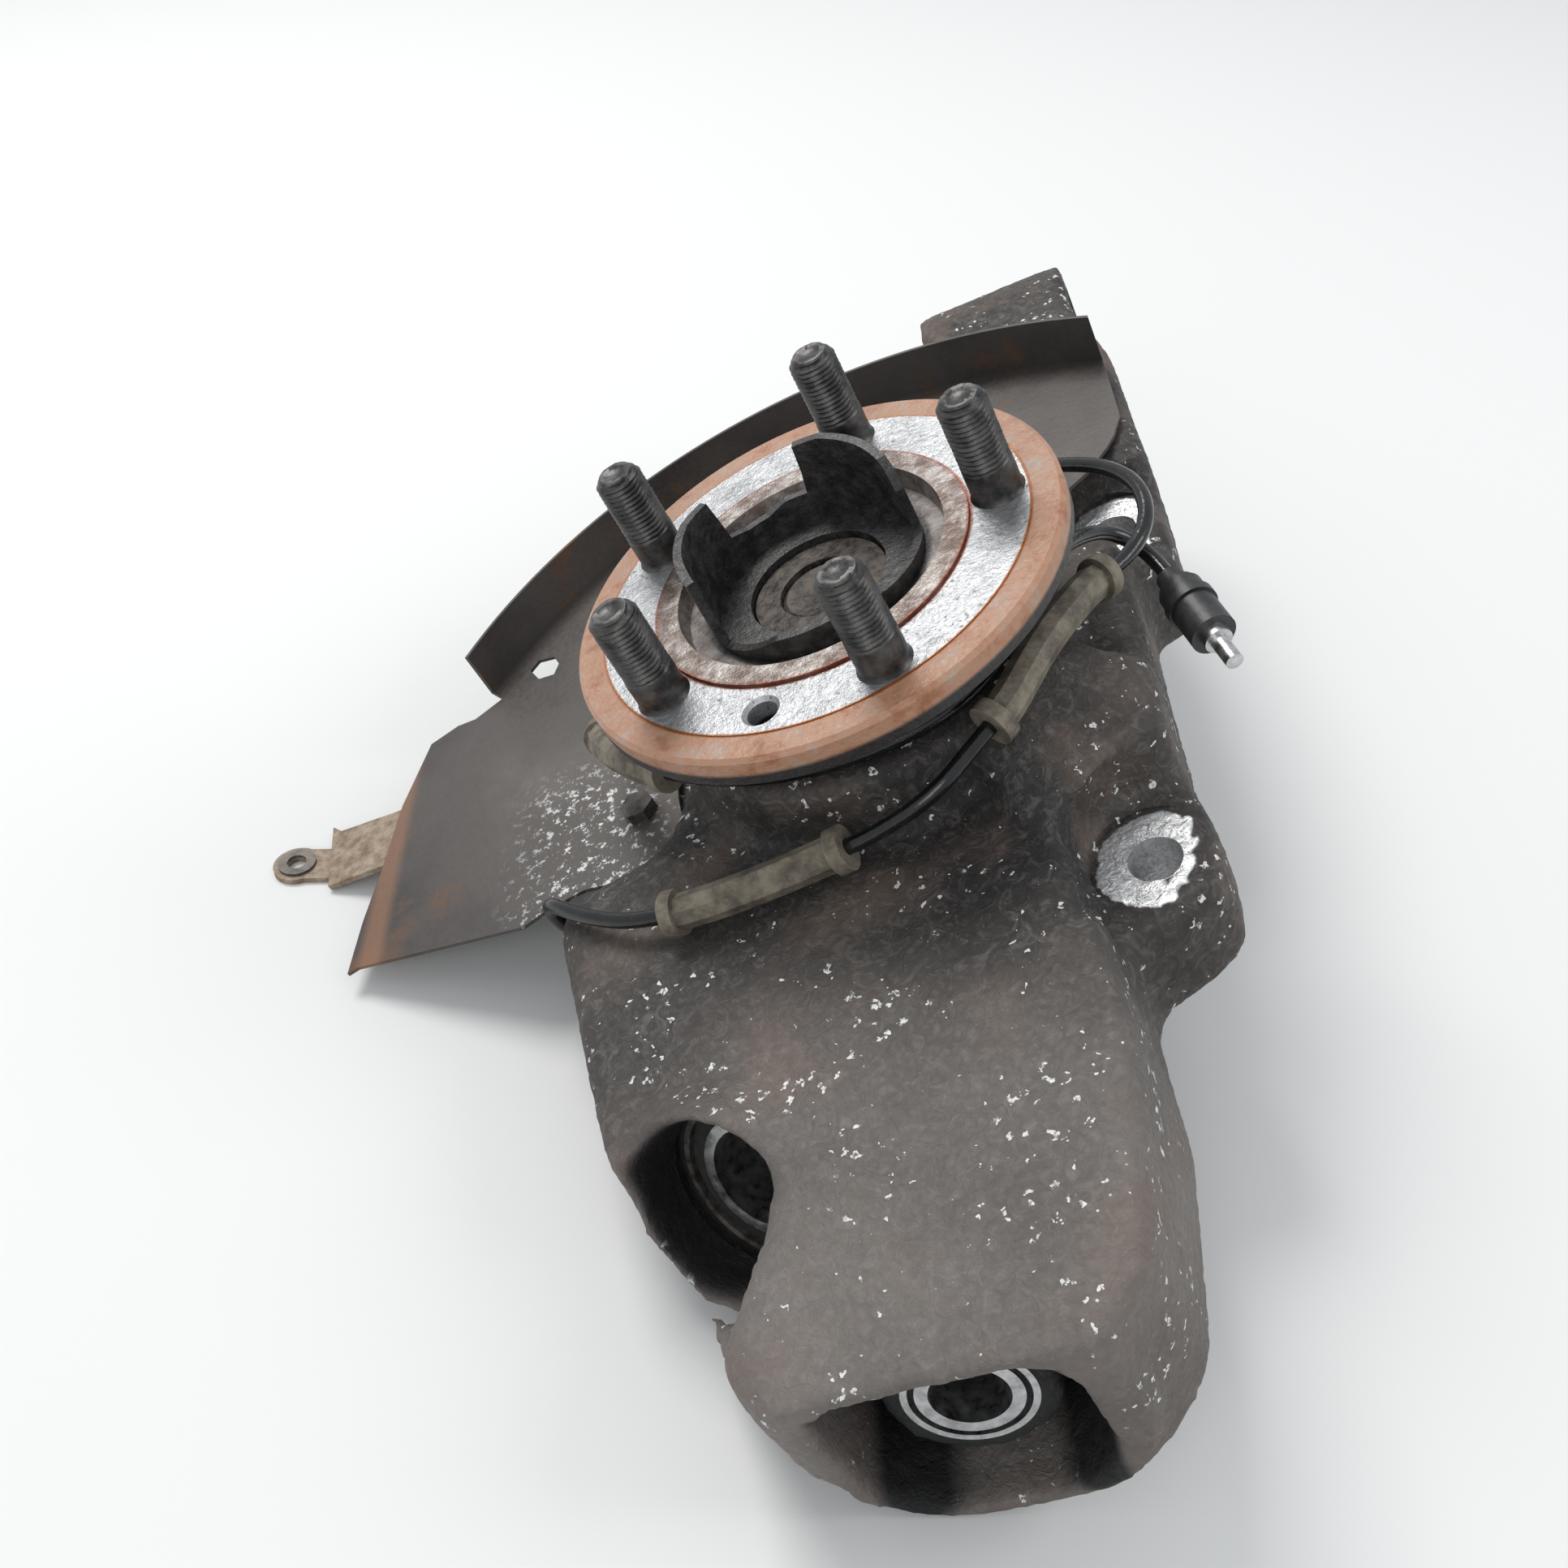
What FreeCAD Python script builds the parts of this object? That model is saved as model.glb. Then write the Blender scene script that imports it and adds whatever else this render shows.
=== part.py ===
import FreeCAD, Part
import itertools
import math
import os
import Sketcher

# Wheel hub on its suspension knuckle, with a torn spigot and a bent splash shield.
# Millimetres. Every piece is drawn in the hub's own frame: Z is the wheel axis, pointing
# outboard, and Z = 0 is the wheel's seating face. One placement then tips the whole
# assembly to the pose in which it lies on the floor.

Vec = FreeCAD.Vector

sizes = {
    # Pose of the hub axis, tipped about a level line
    "tip_angle": 23.168,
    "tip_heading": -78.644,
    # Hub flange
    "flange_r": 71.1,
    "flange_thick": 10.0,
    "rust_band_r": 62.4,
    "rust_band_drop": 0.3,
    "raised_out_r": 45.8,
    "raised_in_r": 39.0,
    "raised_step": 1.0,
    "recess_depth": 5.0,
    "spigot_out_r": 31.7,
    "spigot_wall": 2.5,
    "spigot_top": 19.5,
    "cup_depth": 6.0,
    "cup_hole_r": 20.0,
    "cup_hole_depth": 18.0,
    "hub_root_r": 43.0,
    "hub_neck_r": 30.0,
    "edge_break": 1.2,
    "spline_r": 13.5,
    "spline_gap": 0.2,
    # Wheel studs and the disc screw hole
    "stud_pcr": 54.0,
    "stud_r": 7.0,
    "stud_top": 30.9,
    "stud_knurl_r": 7.3,
    "stud_head_r": 9.5,
    "stud_head_thick": 5.0,
    "stud_phase": 2.21,
    "stud_count": 5,
    "screw_hole_pcr": 54.5,
    "screw_hole_r": 4.2,
    "screw_sink_r": 5.3,
    "screw_hole_angle": 254.3,
    # Bearing
    "bearing_front": 33.0,
    "bearing_width": 36.0,
    "bearing_out_r": 41.0,
    "bearing_in_r": 21.0,
    "ball_pitch_r": 31.0,
    "ball_r": 5.0,
    "race_gap": 0.05,
    "ball_row_offset": 8.0,
    "race_flat": 2.355,
    "race_mouth": 4.075,
    "ball_count": 10,
    "out_race_in_r": 34.0,
    "in_race_out_r": 28.0,
    "cage_thick": 2.0,
    "seal_thick": 1.6,
    "seal_inset": 0.8,
    "seal_gap": 0.3,
    "clip_thick": 2.0,
    "clip_in_r": 38.0,
    "clip_out_r": 43.0,
    "tone_out_r": 33.0,
    "tone_width": 5.0,
    # Stub axle left in the hub
    "stub_end": 80.0,
    "stub_top": 9.0,
    "nut_r": 19.4,
    "nut_low": 17.5,
    "nut_top": 8.0,
    # Knuckle
    "boss_r": 58.0,
    "boss_top": 28.0,
    "boss_low": 84.0,
    "mouth_r": 44.0,
    "seat_lip_r": 37.0,
    "seat_lip_thick": 3.5,
    "skirt_top_r": 60.0,
    "skirt_low_r": 85.0,
    "skirt_top": 33.5,
    "skirt_sweep": 44.0,
    "skirt_turn": -62.0,
    "front_z": 50.0,
    "front_round": 9.0,
    "web_z": 62.0,
    "wing_low": 88.0,
    "spine_low": 108.0,
    "ear_z": 70.0,
    "ear_low": 103.0,
    "ear_hole_r": 7.25,
    "ear_a_x": 63.3,
    "ear_a_y": -74.5,
    "ear_b_x": 75.0,
    "ear_b_y": 61.0,
    "pad_r": 11.0,
    # Lower mouth and its bush
    "mouth_left": 38.0,
    "mouth_right": 34.0,
    "mouth_top": 50.0,
    "mouth_low": 118.75,
    "mouth_front": 209.0,
    "mouth_depth": 59.0,
    "mouth_wall": 5.0,
    "mouth_floor_wall": 4.0,
    "mouth_low_round": 28.0,
    "mouth_top_round": 12.0,
    "lower_bush_x": -3.7,
    "lower_bush_y": -197.0,
    "lower_bush_z": -82.3,
    "lower_bush_pitch": 11.5,
    "lower_bush_r": 15.3,
    "lower_bush_long": 36.0,
    "lower_bore_r": 9.2,
    "lower_boss_r": 21.0,
    # Side bush
    "side_bush_r": 23.0,
    "side_bush_long": 28.0,
    "side_bore_r": 13.8,
    "side_boss_r": 26.5,
    "side_pocket_r": 25.0,
    "side_x": -50.0,
    "side_y": -134.0,
    "side_z": -75.0,
    "side_dir_x": -0.40,
    "side_dir_y": -0.79,
    "side_dir_z": 0.46,
    # Upper eye and its bush
    "eye_x": 54.0,
    "eye_y": 205.0,
    "eye_z": -89.0,
    "eye_r": 30.0,
    "eye_wide": 56.0,
    "upper_bush_r": 23.0,
    "upper_bore_r": 6.5,
    # Bush build, shared
    "bush_shell": 1.6,
    "sleeve_wall": 3.0,
    # Rear lug
    "rear_lug_x": 45.0,
    "rear_lug_y": 75.0,
    "rear_lug_z": -149.8,
    "rear_lug_r": 16.0,
    "rear_lug_wide": 24.0,
    "rear_lug_hole_r": 6.0,
    # Splash shield
    "sheet": 1.2,
    "shield_z": 57.0,
    "shield_r": 163.0,
    "shield_lip_top": 40.0,
    "shield_hub_r": 68.0,
    "shield_right": 87.5,
    "shield_bolt_a_x": -79.8,
    "shield_bolt_a_y": -9.0,
    "shield_bolt_b_x": -24.0,
    "shield_bolt_b_y": 104.0,
    "shield_bolt_c_x": 40.0,
    "shield_bolt_c_y": 112.0,
    # Small fasteners
    "bolt_r": 3.0,
    "bolt_long": 14.0,
    "bolt_head_r": 5.5,
    "bolt_head_thick": 4.0,
    # Hose bracket
    "bracket_thick": 2.0,
    "eyelet_x": -210.0,
    "eyelet_y": 18.7,
    "eyelet_r": 8.0,
    "eyelet_hole_r": 3.2,
    "washer_r": 6.2,
    "washer_thick": 1.0,
    "floor_drop": 131.4,
    # Sensor and its cable
    "sensor_r": 8.0,
    "sensor_z": -78.2,
    "sensor_tip_r": 35.0,
    "sensor_tab_x": -92.0,
    "sensor_tab_thick": 3.0,
    "sensor_tab_y": -11.0,
    "sensor_tab_wide": 34.0,
    "sensor_cap_long": 8.0,
    "sensor_screw_y": 15.0,
    "sensor_screw_long": 16.0,
    "sensor_fit": 0.2,
    "sensor_outlet_r": 3.4,
    "cable_r": 2.25,
    "sleeve_r": 5.0,
    "collar_r": 6.4,
    "collar_long": 4.0,
    "plug_r": 6.5,
    "plug_dir_x": 7.4,
    "plug_dir_y": -29.0,
    "plug_dir_z": -3.0,
    "boot_long": 7.0,
    "shell_long": 20.0,
    "pin_r": 2.5,
    "pin_long": 12.0,
}

doc = FreeCAD.newDocument("wheel_hub")
dims_sheet = doc.addObject("Spreadsheet::Sheet", "Dims")
for row, (alias, number) in enumerate(sizes.items(), start=1):
    dims_sheet.set("A%d" % row, alias)
    dims_sheet.set("B%d" % row, str(number))
    dims_sheet.setAlias("B%d" % row, alias)
doc.recompute()


def amount(text):
    """Work out a sum of products of named sizes and numbers."""
    total = 0.0
    for term in str(text).replace(" ", "").replace("-", "+-").split("+"):
        if term:
            product = -1.0 if term.startswith("-") else 1.0
            for factor in term.lstrip("-").split("*"):
                product *= sizes[factor] if factor in sizes else float(factor)
            total += product
    return total


def dims(text):
    """Point each size's name in a sum of products at its cell."""
    out = []
    word = ""
    for letter in str(text) + " ":
        if letter.isalnum() or letter in "_.":
            word += letter
        else:
            out.append("Dims." + word if word in sizes else word)
            out.append(letter)
            word = ""
    return "".join(out).strip()


def bind(thing, **texts):
    """Set properties by expression; a double underscore stands for a dot."""
    for name, text in texts.items():
        thing.setExpression(name.replace("__", "."), dims(text))
    return thing


tip_axis = Vec(math.cos(math.radians(amount("tip_heading"))),
               math.sin(math.radians(amount("tip_heading"))), 0)
POSE = FreeCAD.Placement(Vec(0, 0, 0), FreeCAD.Rotation(tip_axis, amount("tip_angle")))
pieces = []


def keep(thing, label, place=None):
    """Name a finished sub-part and tip it into the common pose."""
    thing.Label = label
    thing.Placement = POSE.multiply(place) if place else POSE
    pieces.append(thing)
    return thing


# Building blocks

def plane_of(body, role):
    return [item for item in body.Origin.OriginFeatures if item.Role == role][0]


def outline_sketch(body, role, points, offset="0"):
    """Draw a closed outline whose corners are held by named sizes."""
    sketch = body.newObject("Sketcher::SketchObject", "outline")
    sketch.AttachmentSupport = (plane_of(body, role), [""])
    sketch.MapMode = "FlatFace"
    bind(sketch, AttachmentOffset__Base__z=offset)
    corners = [Vec(amount(u), amount(v), 0) for u, v in points]
    count = len(corners)
    for index in range(count):
        sketch.addGeometry(Part.LineSegment(corners[index], corners[(index + 1) % count]), False)
    for index in range(count):
        sketch.addConstraint(Sketcher.Constraint("Coincident", index, 2, (index + 1) % count, 1))
    for index, texts in enumerate(points):
        for kind, text in zip(("DistanceX", "DistanceY"), texts):
            number = sketch.addConstraint(Sketcher.Constraint(kind, index, 1, amount(text)))
            sketch.setExpression("Constraints[%d]" % number, dims(text))
    return sketch


def turned(name, profile):
    """Turn a closed outline of radius and height about Z."""
    body = doc.addObject("PartDesign::Body", name)
    sketch = outline_sketch(body, "XZ_Plane", profile)
    spin = body.newObject("PartDesign::Revolution", "turned")
    spin.Profile = sketch
    spin.ReferenceAxis = (sketch, ["V_Axis"])
    spin.Angle = 360
    doc.recompute()
    return body


def prism(name, points, low, high):
    """Extrude a plan outline from one height to another."""
    body = doc.addObject("PartDesign::Body", name)
    sketch = outline_sketch(body, "XY_Plane", points, low)
    pad = body.newObject("PartDesign::Pad", "pad")
    pad.Profile = sketch
    bind(pad, Length=high + "-(" + low + ")")
    doc.recompute()
    return body


def slab(name, points, front, deep):
    """Extrude a front outline of width and height along -Y, starting at y = -front."""
    body = doc.addObject("PartDesign::Body", name)
    sketch = outline_sketch(body, "XZ_Plane", points, front)
    pad = body.newObject("PartDesign::Pad", "pad")
    pad.Profile = sketch
    bind(pad, Length=deep)
    doc.recompute()
    return body


def round_upright(body, radii, direction=Vec(0, 0, 1)):
    """Round the edges along one direction: radii maps a corner (u, v) to a radius."""
    base = body.Tip
    for (u, v), radius in radii.items():
        names = []
        for index, edge in enumerate(base.Shape.Edges, start=1):
            start = edge.Vertexes[0].Point
            run = edge.Vertexes[-1].Point - start
            flat = (start.x, start.z) if abs(direction.y) > 0.5 else (start.x, start.y)
            near = abs(flat[0] - amount(u)) < 0.01 and abs(flat[1] - amount(v)) < 0.01
            if near and run.Length > 0.1 and run.cross(direction).Length < 0.001 * run.Length:
                names.append("Edge%d" % index)
        fillet = body.newObject("PartDesign::Fillet", "corner")
        fillet.Base = (base, names)
        bind(fillet, Radius=radius)
        doc.recompute()
        base = fillet
    return body


def soft_edges(body, height, radius, chain):
    """Round the level edges at one height that join neighbouring corners of a chain."""
    base = body.Tip
    corners = [Vec(amount(u), amount(v), amount(height)) for u, v in chain]
    names = []
    for index, edge in enumerate(base.Shape.Edges, start=1):
        ends = [vertex.Point for vertex in edge.Vertexes]
        for one, two in zip(corners, corners[1:]):
            same = ends[0].distanceToPoint(one) + ends[-1].distanceToPoint(two)
            turned_round = ends[0].distanceToPoint(two) + ends[-1].distanceToPoint(one)
            if min(same, turned_round) < 0.01:
                names.append("Edge%d" % index)
    fillet = body.newObject("PartDesign::Fillet", "soft_edge")
    fillet.Base = (base, names)
    bind(fillet, Radius=radius)
    doc.recompute()
    return body


def cylinder(radius, length, base=("0", "0", "0"), direction=None):
    rod = doc.addObject("Part::Cylinder", "rod")
    bind(rod, Radius=radius, Height=length)
    if direction is not None:
        rod.Placement = FreeCAD.Placement(Vec(0, 0, 0), FreeCAD.Rotation(Vec(0, 0, 1), direction))
    bind(rod, Placement__Base__x=base[0], Placement__Base__y=base[1], Placement__Base__z=base[2])
    return rod


def fused(*solids):
    joined = doc.addObject("Part::MultiFuse", "joined")
    joined.Shapes = list(solids)
    joined.Refine = True
    return joined


def cut(base, *tools):
    result = base
    for tool in tools:
        step = doc.addObject("Part::Cut", "cut")
        step.Base = result
        step.Tool = tool
        result = step
    return result


def scripted(name, shape):
    """Hold a shape that no single feature makes."""
    thing = doc.addObject("Part::Feature", name)
    thing.Shape = shape
    return thing


def ring(outer, inner, low, high):
    """A plain ring about Z."""
    return turned("ring", [(inner, low), (outer, low), (outer, high), (inner, high)])


# Wheel flange, with its torn spigot

flange = turned("flange", [
    ("spline_r", "-bearing_front-bearing_width-3"),
    ("bearing_in_r", "-bearing_front-bearing_width-3"),
    ("bearing_in_r", "-bearing_front"),
    ("hub_neck_r", "-bearing_front"),
    ("hub_neck_r", "-cup_hole_depth-5"),
    ("hub_neck_r+6", "-cup_hole_depth"),
    ("hub_root_r", "-flange_thick"),
    ("flange_r-edge_break", "-flange_thick"),
    ("flange_r", "-flange_thick+edge_break"),
    ("flange_r", "-rust_band_drop-edge_break"),
    ("flange_r-edge_break", "-rust_band_drop"),
    ("rust_band_r", "-rust_band_drop"),
    ("rust_band_r", "0"),
    ("raised_out_r", "0"),
    ("raised_out_r", "raised_step"),
    ("raised_in_r", "raised_step"),
    ("raised_in_r-1", "-recess_depth"),
    ("spigot_out_r", "-recess_depth"),
    ("spigot_out_r", "spigot_top"),
    ("spigot_out_r-spigot_wall", "spigot_top"),
    ("spigot_out_r-spigot_wall", "-cup_depth"),
    ("cup_hole_r", "-cup_depth"),
    ("cup_hole_r", "-cup_hole_depth"),
    ("spline_r", "-cup_hole_depth"),
])

# Height of the torn edge round the spigot, in degrees and millimetres
tear = [
    (10.0, -3.4), (11.5, 8.0), (16.0, 12.6), (24.0, 15.6), (43.0, 17.7), (67.0, 19.4),
    (83.0, 18.4), (84.5, 9.8), (87.0, 2.8), (100.0, 3.0), (112.0, 1.2), (125.0, 1.6),
    (137.0, 3.8), (138.5, 10.6), (140.5, 17.8), (160.0, 19.0), (187.0, 18.6), (205.0, 16.0),
    (208.0, 5.0), (210.5, -4.4), (239.0, -0.5), (253.0, 2.1), (284.0, 3.2), (312.0, 0.6),
    (341.0, -1.1),
]


def tear_station(angle, height):
    inner = amount("spigot_out_r-spigot_wall-3")
    outer = amount("spigot_out_r+4")
    top = amount("spigot_top+5")
    ray = Vec(math.cos(math.radians(angle)), math.sin(math.radians(angle)), 0)
    up = Vec(0, 0, 1)
    corners = [ray * inner + up * height, ray * outer + up * height,
               ray * outer + up * top, ray * inner + up * top]
    return Part.makePolygon(corners + corners[:1])


def tear_tool():
    stations = tear + [(tear[0][0] + 360.0, tear[0][1])]
    blocks = []
    for low, high in zip(stations, stations[1:]):
        blocks.append(Part.makeLoft([tear_station(*low), tear_station(*high)], True, True))
    return blocks[0].multiFuse(blocks[1:])


stud_hole_rod = doc.addObject("Part::Cylinder", "stud_hole")
bind(stud_hole_rod, Radius="stud_knurl_r", Height="flange_thick*2",
     Placement__Base__x="stud_pcr", Placement__Base__z="-flange_thick*1.5")


def spread(tool, count, phase):
    """Fuse copies of a tool, turned about Z."""
    copies = []
    for index in range(int(amount(count))):
        turned_copy = doc.addObject("Part::Feature", "copy")
        shape = tool.Shape.copy()
        shape.rotate(Vec(0, 0, 0), Vec(0, 0, 1), amount(phase) + index * 360.0 / amount(count))
        turned_copy.Shape = shape
        copies.append(turned_copy)
    return fused(*copies)


doc.recompute()
stud_holes = spread(stud_hole_rod, "stud_count", "stud_phase")
screw_x = "%.6f*screw_hole_pcr" % math.cos(math.radians(amount("screw_hole_angle")))
screw_y = "%.6f*screw_hole_pcr" % math.sin(math.radians(amount("screw_hole_angle")))
screw_hole = cylinder("screw_hole_r", "flange_thick*2", (screw_x, screw_y, "-flange_thick*1.5"))
screw_sink = doc.addObject("Part::Cone", "screw_sink")
bind(screw_sink, Radius1="screw_hole_r", Radius2="screw_sink_r", Height="screw_sink_r-screw_hole_r",
     Placement__Base__x=screw_x, Placement__Base__y=screw_y,
     Placement__Base__z="screw_hole_r-screw_sink_r")
keep(cut(flange, scripted("tear_tool", tear_tool()), stud_holes, screw_hole, screw_sink),
     "hub_flange")

# Wheel studs

stud_one = turned("stud_one", [
    ("0", "-flange_thick-stud_head_thick"),
    ("stud_head_r-1", "-flange_thick-stud_head_thick"),
    ("stud_head_r", "-flange_thick-stud_head_thick+1"),
    ("stud_head_r", "-flange_thick"),
    ("stud_knurl_r", "-flange_thick"),
    ("stud_knurl_r", "0"),
    ("stud_r", "0"),
    ("stud_r", "stud_top-2"),
    ("stud_r-1.6", "stud_top"),
    ("0", "stud_top"),
])
stud_one.Placement = FreeCAD.Placement(Vec(amount("stud_pcr"), 0, 0), FreeCAD.Rotation())
doc.recompute()
keep(spread(stud_one, "stud_count", "stud_phase"), "wheel_studs")

# Double-row ball bearing

front_row = "-bearing_front-0.5*bearing_width+ball_row_offset"
rear_row = "-bearing_front-0.5*bearing_width-ball_row_offset"
middle = "-bearing_front-0.5*bearing_width"


def race(radius, deep, height):
    """Corners of a ball groove that opens at one radius, from its low side up."""
    return [(radius, height + "-race_mouth"), (deep, height + "-race_flat"),
            (deep, height + "+race_flat"), (radius, height + "+race_mouth")]


out_deep = "ball_pitch_r+ball_r+race_gap"
in_deep = "ball_pitch_r-ball_r-race_gap"
low_end = "-bearing_front-bearing_width"
high_end = "-bearing_front"
outer_profile = [("bearing_out_r", high_end), ("bearing_out_r", low_end), ("out_race_in_r", low_end)]
outer_profile += race("out_race_in_r", out_deep, rear_row)
outer_profile += race("out_race_in_r", out_deep, front_row)
outer_profile += [("out_race_in_r", high_end)]
keep(turned("outer_ring", outer_profile), "bearing_outer_ring")
for label, height, low, high in (("front", front_row, middle, high_end), ("rear", rear_row, low_end, middle)):
    inner_profile = [("bearing_in_r", high), ("bearing_in_r", low), ("in_race_out_r", low)]
    inner_profile += race("in_race_out_r", in_deep, height)
    inner_profile += [("in_race_out_r", high)]
    keep(turned("inner_ring", inner_profile), "bearing_inner_ring_" + label)


def ball_shape(height):
    """A ball with few flats, because there are many of them."""
    radius = amount("ball_r")
    centre = Vec(amount("ball_pitch_r"), 0, amount(height))
    golden = (1 + math.sqrt(5)) / 2
    corners = []
    for one in (-1, 1):
        for two in (-golden, golden):
            corners += [Vec(0, one, two), Vec(one, two, 0), Vec(two, 0, one)]
    side = 2.0
    faces = []
    for a, b, c in itertools.combinations(corners, 3):
        lengths = [a.distanceToPoint(b), b.distanceToPoint(c), c.distanceToPoint(a)]
        if max(lengths) < side * 1.01:
            middles = [(a + b) * 0.5, (b + c) * 0.5, (c + a) * 0.5]
            small = [(a, middles[0], middles[2]), (b, middles[1], middles[0]),
                     (c, middles[2], middles[1]), tuple(middles)]
            for corner_set in small:
                loop = [centre + Vec(corner).normalize() * radius for corner in corner_set]
                faces.append(Part.Face(Part.makePolygon(loop + loop[:1])))
    return Part.Solid(Part.makeShell(faces))


for label, height in (("front", front_row), ("rear", rear_row)):
    doc.recompute()
    keep(spread(scripted("ball", ball_shape(height)), "ball_count", "0"), "bearing_balls_" + label)
    cage_ring = ring("ball_pitch_r+0.5*cage_thick", "ball_pitch_r-0.5*cage_thick",
                     height + "-ball_r-1", height + "+ball_r+1")
    window = doc.addObject("Part::Box", "window")
    bind(window, Length="ball_r*2", Width="2*ball_r+2*race_gap", Height="2*ball_r+2*race_gap",
         Placement__Base__x="ball_pitch_r-ball_r", Placement__Base__y="-ball_r-race_gap",
         Placement__Base__z=height + "-ball_r-race_gap")
    doc.recompute()
    keep(cut(cage_ring, spread(window, "ball_count", "0")), "bearing_cage_" + label)
for label, edge in (("front", "-bearing_front-seal_inset"),
                    ("rear", "-bearing_front-bearing_width+seal_inset+seal_thick")):
    keep(ring("out_race_in_r", "in_race_out_r+seal_gap", edge + "-seal_thick", edge),
         "bearing_seal_" + label)
keep(cut(ring("clip_out_r", "clip_in_r", "-bearing_front", "-bearing_front+clip_thick"),
         prism("clip_gap", [("0", "-4"), ("50", "-4"), ("50", "4"), ("0", "4")],
               "-bearing_front-1", "-bearing_front+clip_thick+1")), "bearing_circlip")
keep(ring("tone_out_r", "bearing_in_r", "-bearing_front-bearing_width-tone_width",
          "-bearing_front-bearing_width"), "tone_ring")

# What is left of the stub axle and its nut

keep(turned("stub", [
    ("0", "-stub_end"),
    ("spline_r+6", "-stub_end"),
    ("spline_r+6", "-stub_end+8"),
    ("spline_r-spline_gap", "-stub_end+8"),
    ("spline_r-spline_gap", "-nut_low"),
    ("spline_r-1.5", "-nut_low"),
    ("spline_r-1.5", "-stub_top-1"),
    ("spline_r-3", "-stub_top"),
    ("0", "-stub_top-2"),
]), "stub_axle")
keep(ring("nut_r", "spline_r-1.5", "-nut_low", "-nut_top"), "axle_nut")

# Suspension knuckle

side_axis = Vec(amount("side_dir_x"), amount("side_dir_y"), amount("side_dir_z")).normalize()
side_front = Vec(amount("side_x"), amount("side_y"), amount("side_z"))
lower_axis = FreeCAD.Rotation(Vec(1, 0, 0), amount("lower_bush_pitch") * -1.0).multVec(Vec(0, -1, 0))


def along(origin, direction, distance):
    """A point on a line, as three plain texts."""
    spot = origin + direction * distance
    return tuple("%.8f" % value for value in (spot.x, spot.y, spot.z))


lower_front = Vec(amount("lower_bush_x"), amount("lower_bush_y"), amount("lower_bush_z"))

hub_boss = turned("hub_boss", [
    ("seat_lip_r", "-boss_low"),
    ("boss_r", "-boss_low"),
    ("boss_r", "-boss_top-2"),
    ("boss_r-2", "-boss_top"),
    ("mouth_r", "-boss_top"),
    ("mouth_r", "-bearing_front+clip_thick"),
    ("clip_out_r", "-bearing_front+clip_thick"),
    ("clip_out_r", "-bearing_front"),
    ("bearing_out_r", "-bearing_front"),
    ("bearing_out_r", "-bearing_front-bearing_width"),
    ("seat_lip_r", "-bearing_front-bearing_width"),
])

skirt = doc.addObject("Part::Cone", "skirt")
bind(skirt, Angle="skirt_sweep", Radius1="skirt_low_r", Radius2="skirt_top_r", Height="front_z-skirt_top",
     Placement__Base__z="-front_z")
skirt.Placement.Rotation = FreeCAD.Rotation(Vec(0, 0, 1), amount("skirt_turn"))

plateau = prism("plateau", [
    ("-105", "-49"), ("-93.6", "-95.6"), ("-85.2", "-127.8"), ("-75.7", "-149.3"),
    ("-65.3", "-171.8"), ("-52.6", "-191.9"), ("-42.5", "-mouth_front+2"),
    ("mouth_right", "-mouth_front+2"), ("46", "-190"), ("52", "-140"), ("50", "-105"),
    ("44.5", "-94.5"), ("44.5", "-66"), ("56", "-53"), ("76", "-50"), ("77", "35"), ("64", "46"),
    ("30", "45"), ("-30", "45"), ("-58", "0"), ("-63", "-16"), ("-67", "-29"), ("-75", "-35"),
    ("-86", "-38"), ("-96", "-40.5"),
], "-wing_low", "-front_z")
soft_edges(plateau, "-front_z", "front_round", [
    ("-105", "-49"), ("-93.6", "-95.6"), ("-85.2", "-127.8"), ("-75.7", "-149.3"),
    ("-65.3", "-171.8"), ("-52.6", "-191.9"), ("-42.5", "-mouth_front+2"),
])
wing = prism("wing", [
    ("-92", "-38"), ("-92", "25"), ("-64", "62"), ("-36", "84"), ("-30", "106"), ("12", "114"),
    ("24", "150"), ("26", "180"), ("84", "180"), ("90", "150"), ("91.5", "84"), ("90", "40"), ("76", "30"),
    ("76", "-40"), ("0", "-60"),
], "-wing_low-12", "-web_z")
spine = prism("spine", [
    ("-30", "-mouth_front+12"), ("mouth_right", "-mouth_front+4"), ("46", "-190"), ("52", "-140"),
    ("50", "-105"), ("60", "-50"), ("60", "20"), ("-40", "20"), ("-52", "-80"),
], "-spine_low", "-front_z-4")
ear_a = prism("ear_a", [
    ("40", "-100"), ("54", "-100"), ("68", "-94.5"), ("78.6", "-86"), ("80", "-66"), ("76", "-48"),
    ("40", "-48"),
], "-ear_low", "-ear_z")
ear_b = prism("ear_b", [
    ("50", "38"), ("90", "38"), ("91.5", "62"), ("86", "76"), ("70", "80"), ("52", "76"),
], "-ear_low", "-ear_z")
round_upright(ear_a, {("54", "-100"): "7", ("78.6", "-86"): "6"})
round_upright(ear_b, {("91.5", "62"): "8", ("86", "76"): "6"})
ear_b_clear = prism("ear_b_clear", [
    ("57", "39"), ("99", "39"), ("99", "80"), ("57", "80"),
], "-ear_z", "-front_z")
ear_a_clear = prism("ear_a_clear", [
    ("44.5", "-99"), ("99", "-99"), ("99", "-52"), ("57", "-52"), ("44.5", "-66"),
], "-ear_z", "-front_z+2")

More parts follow.
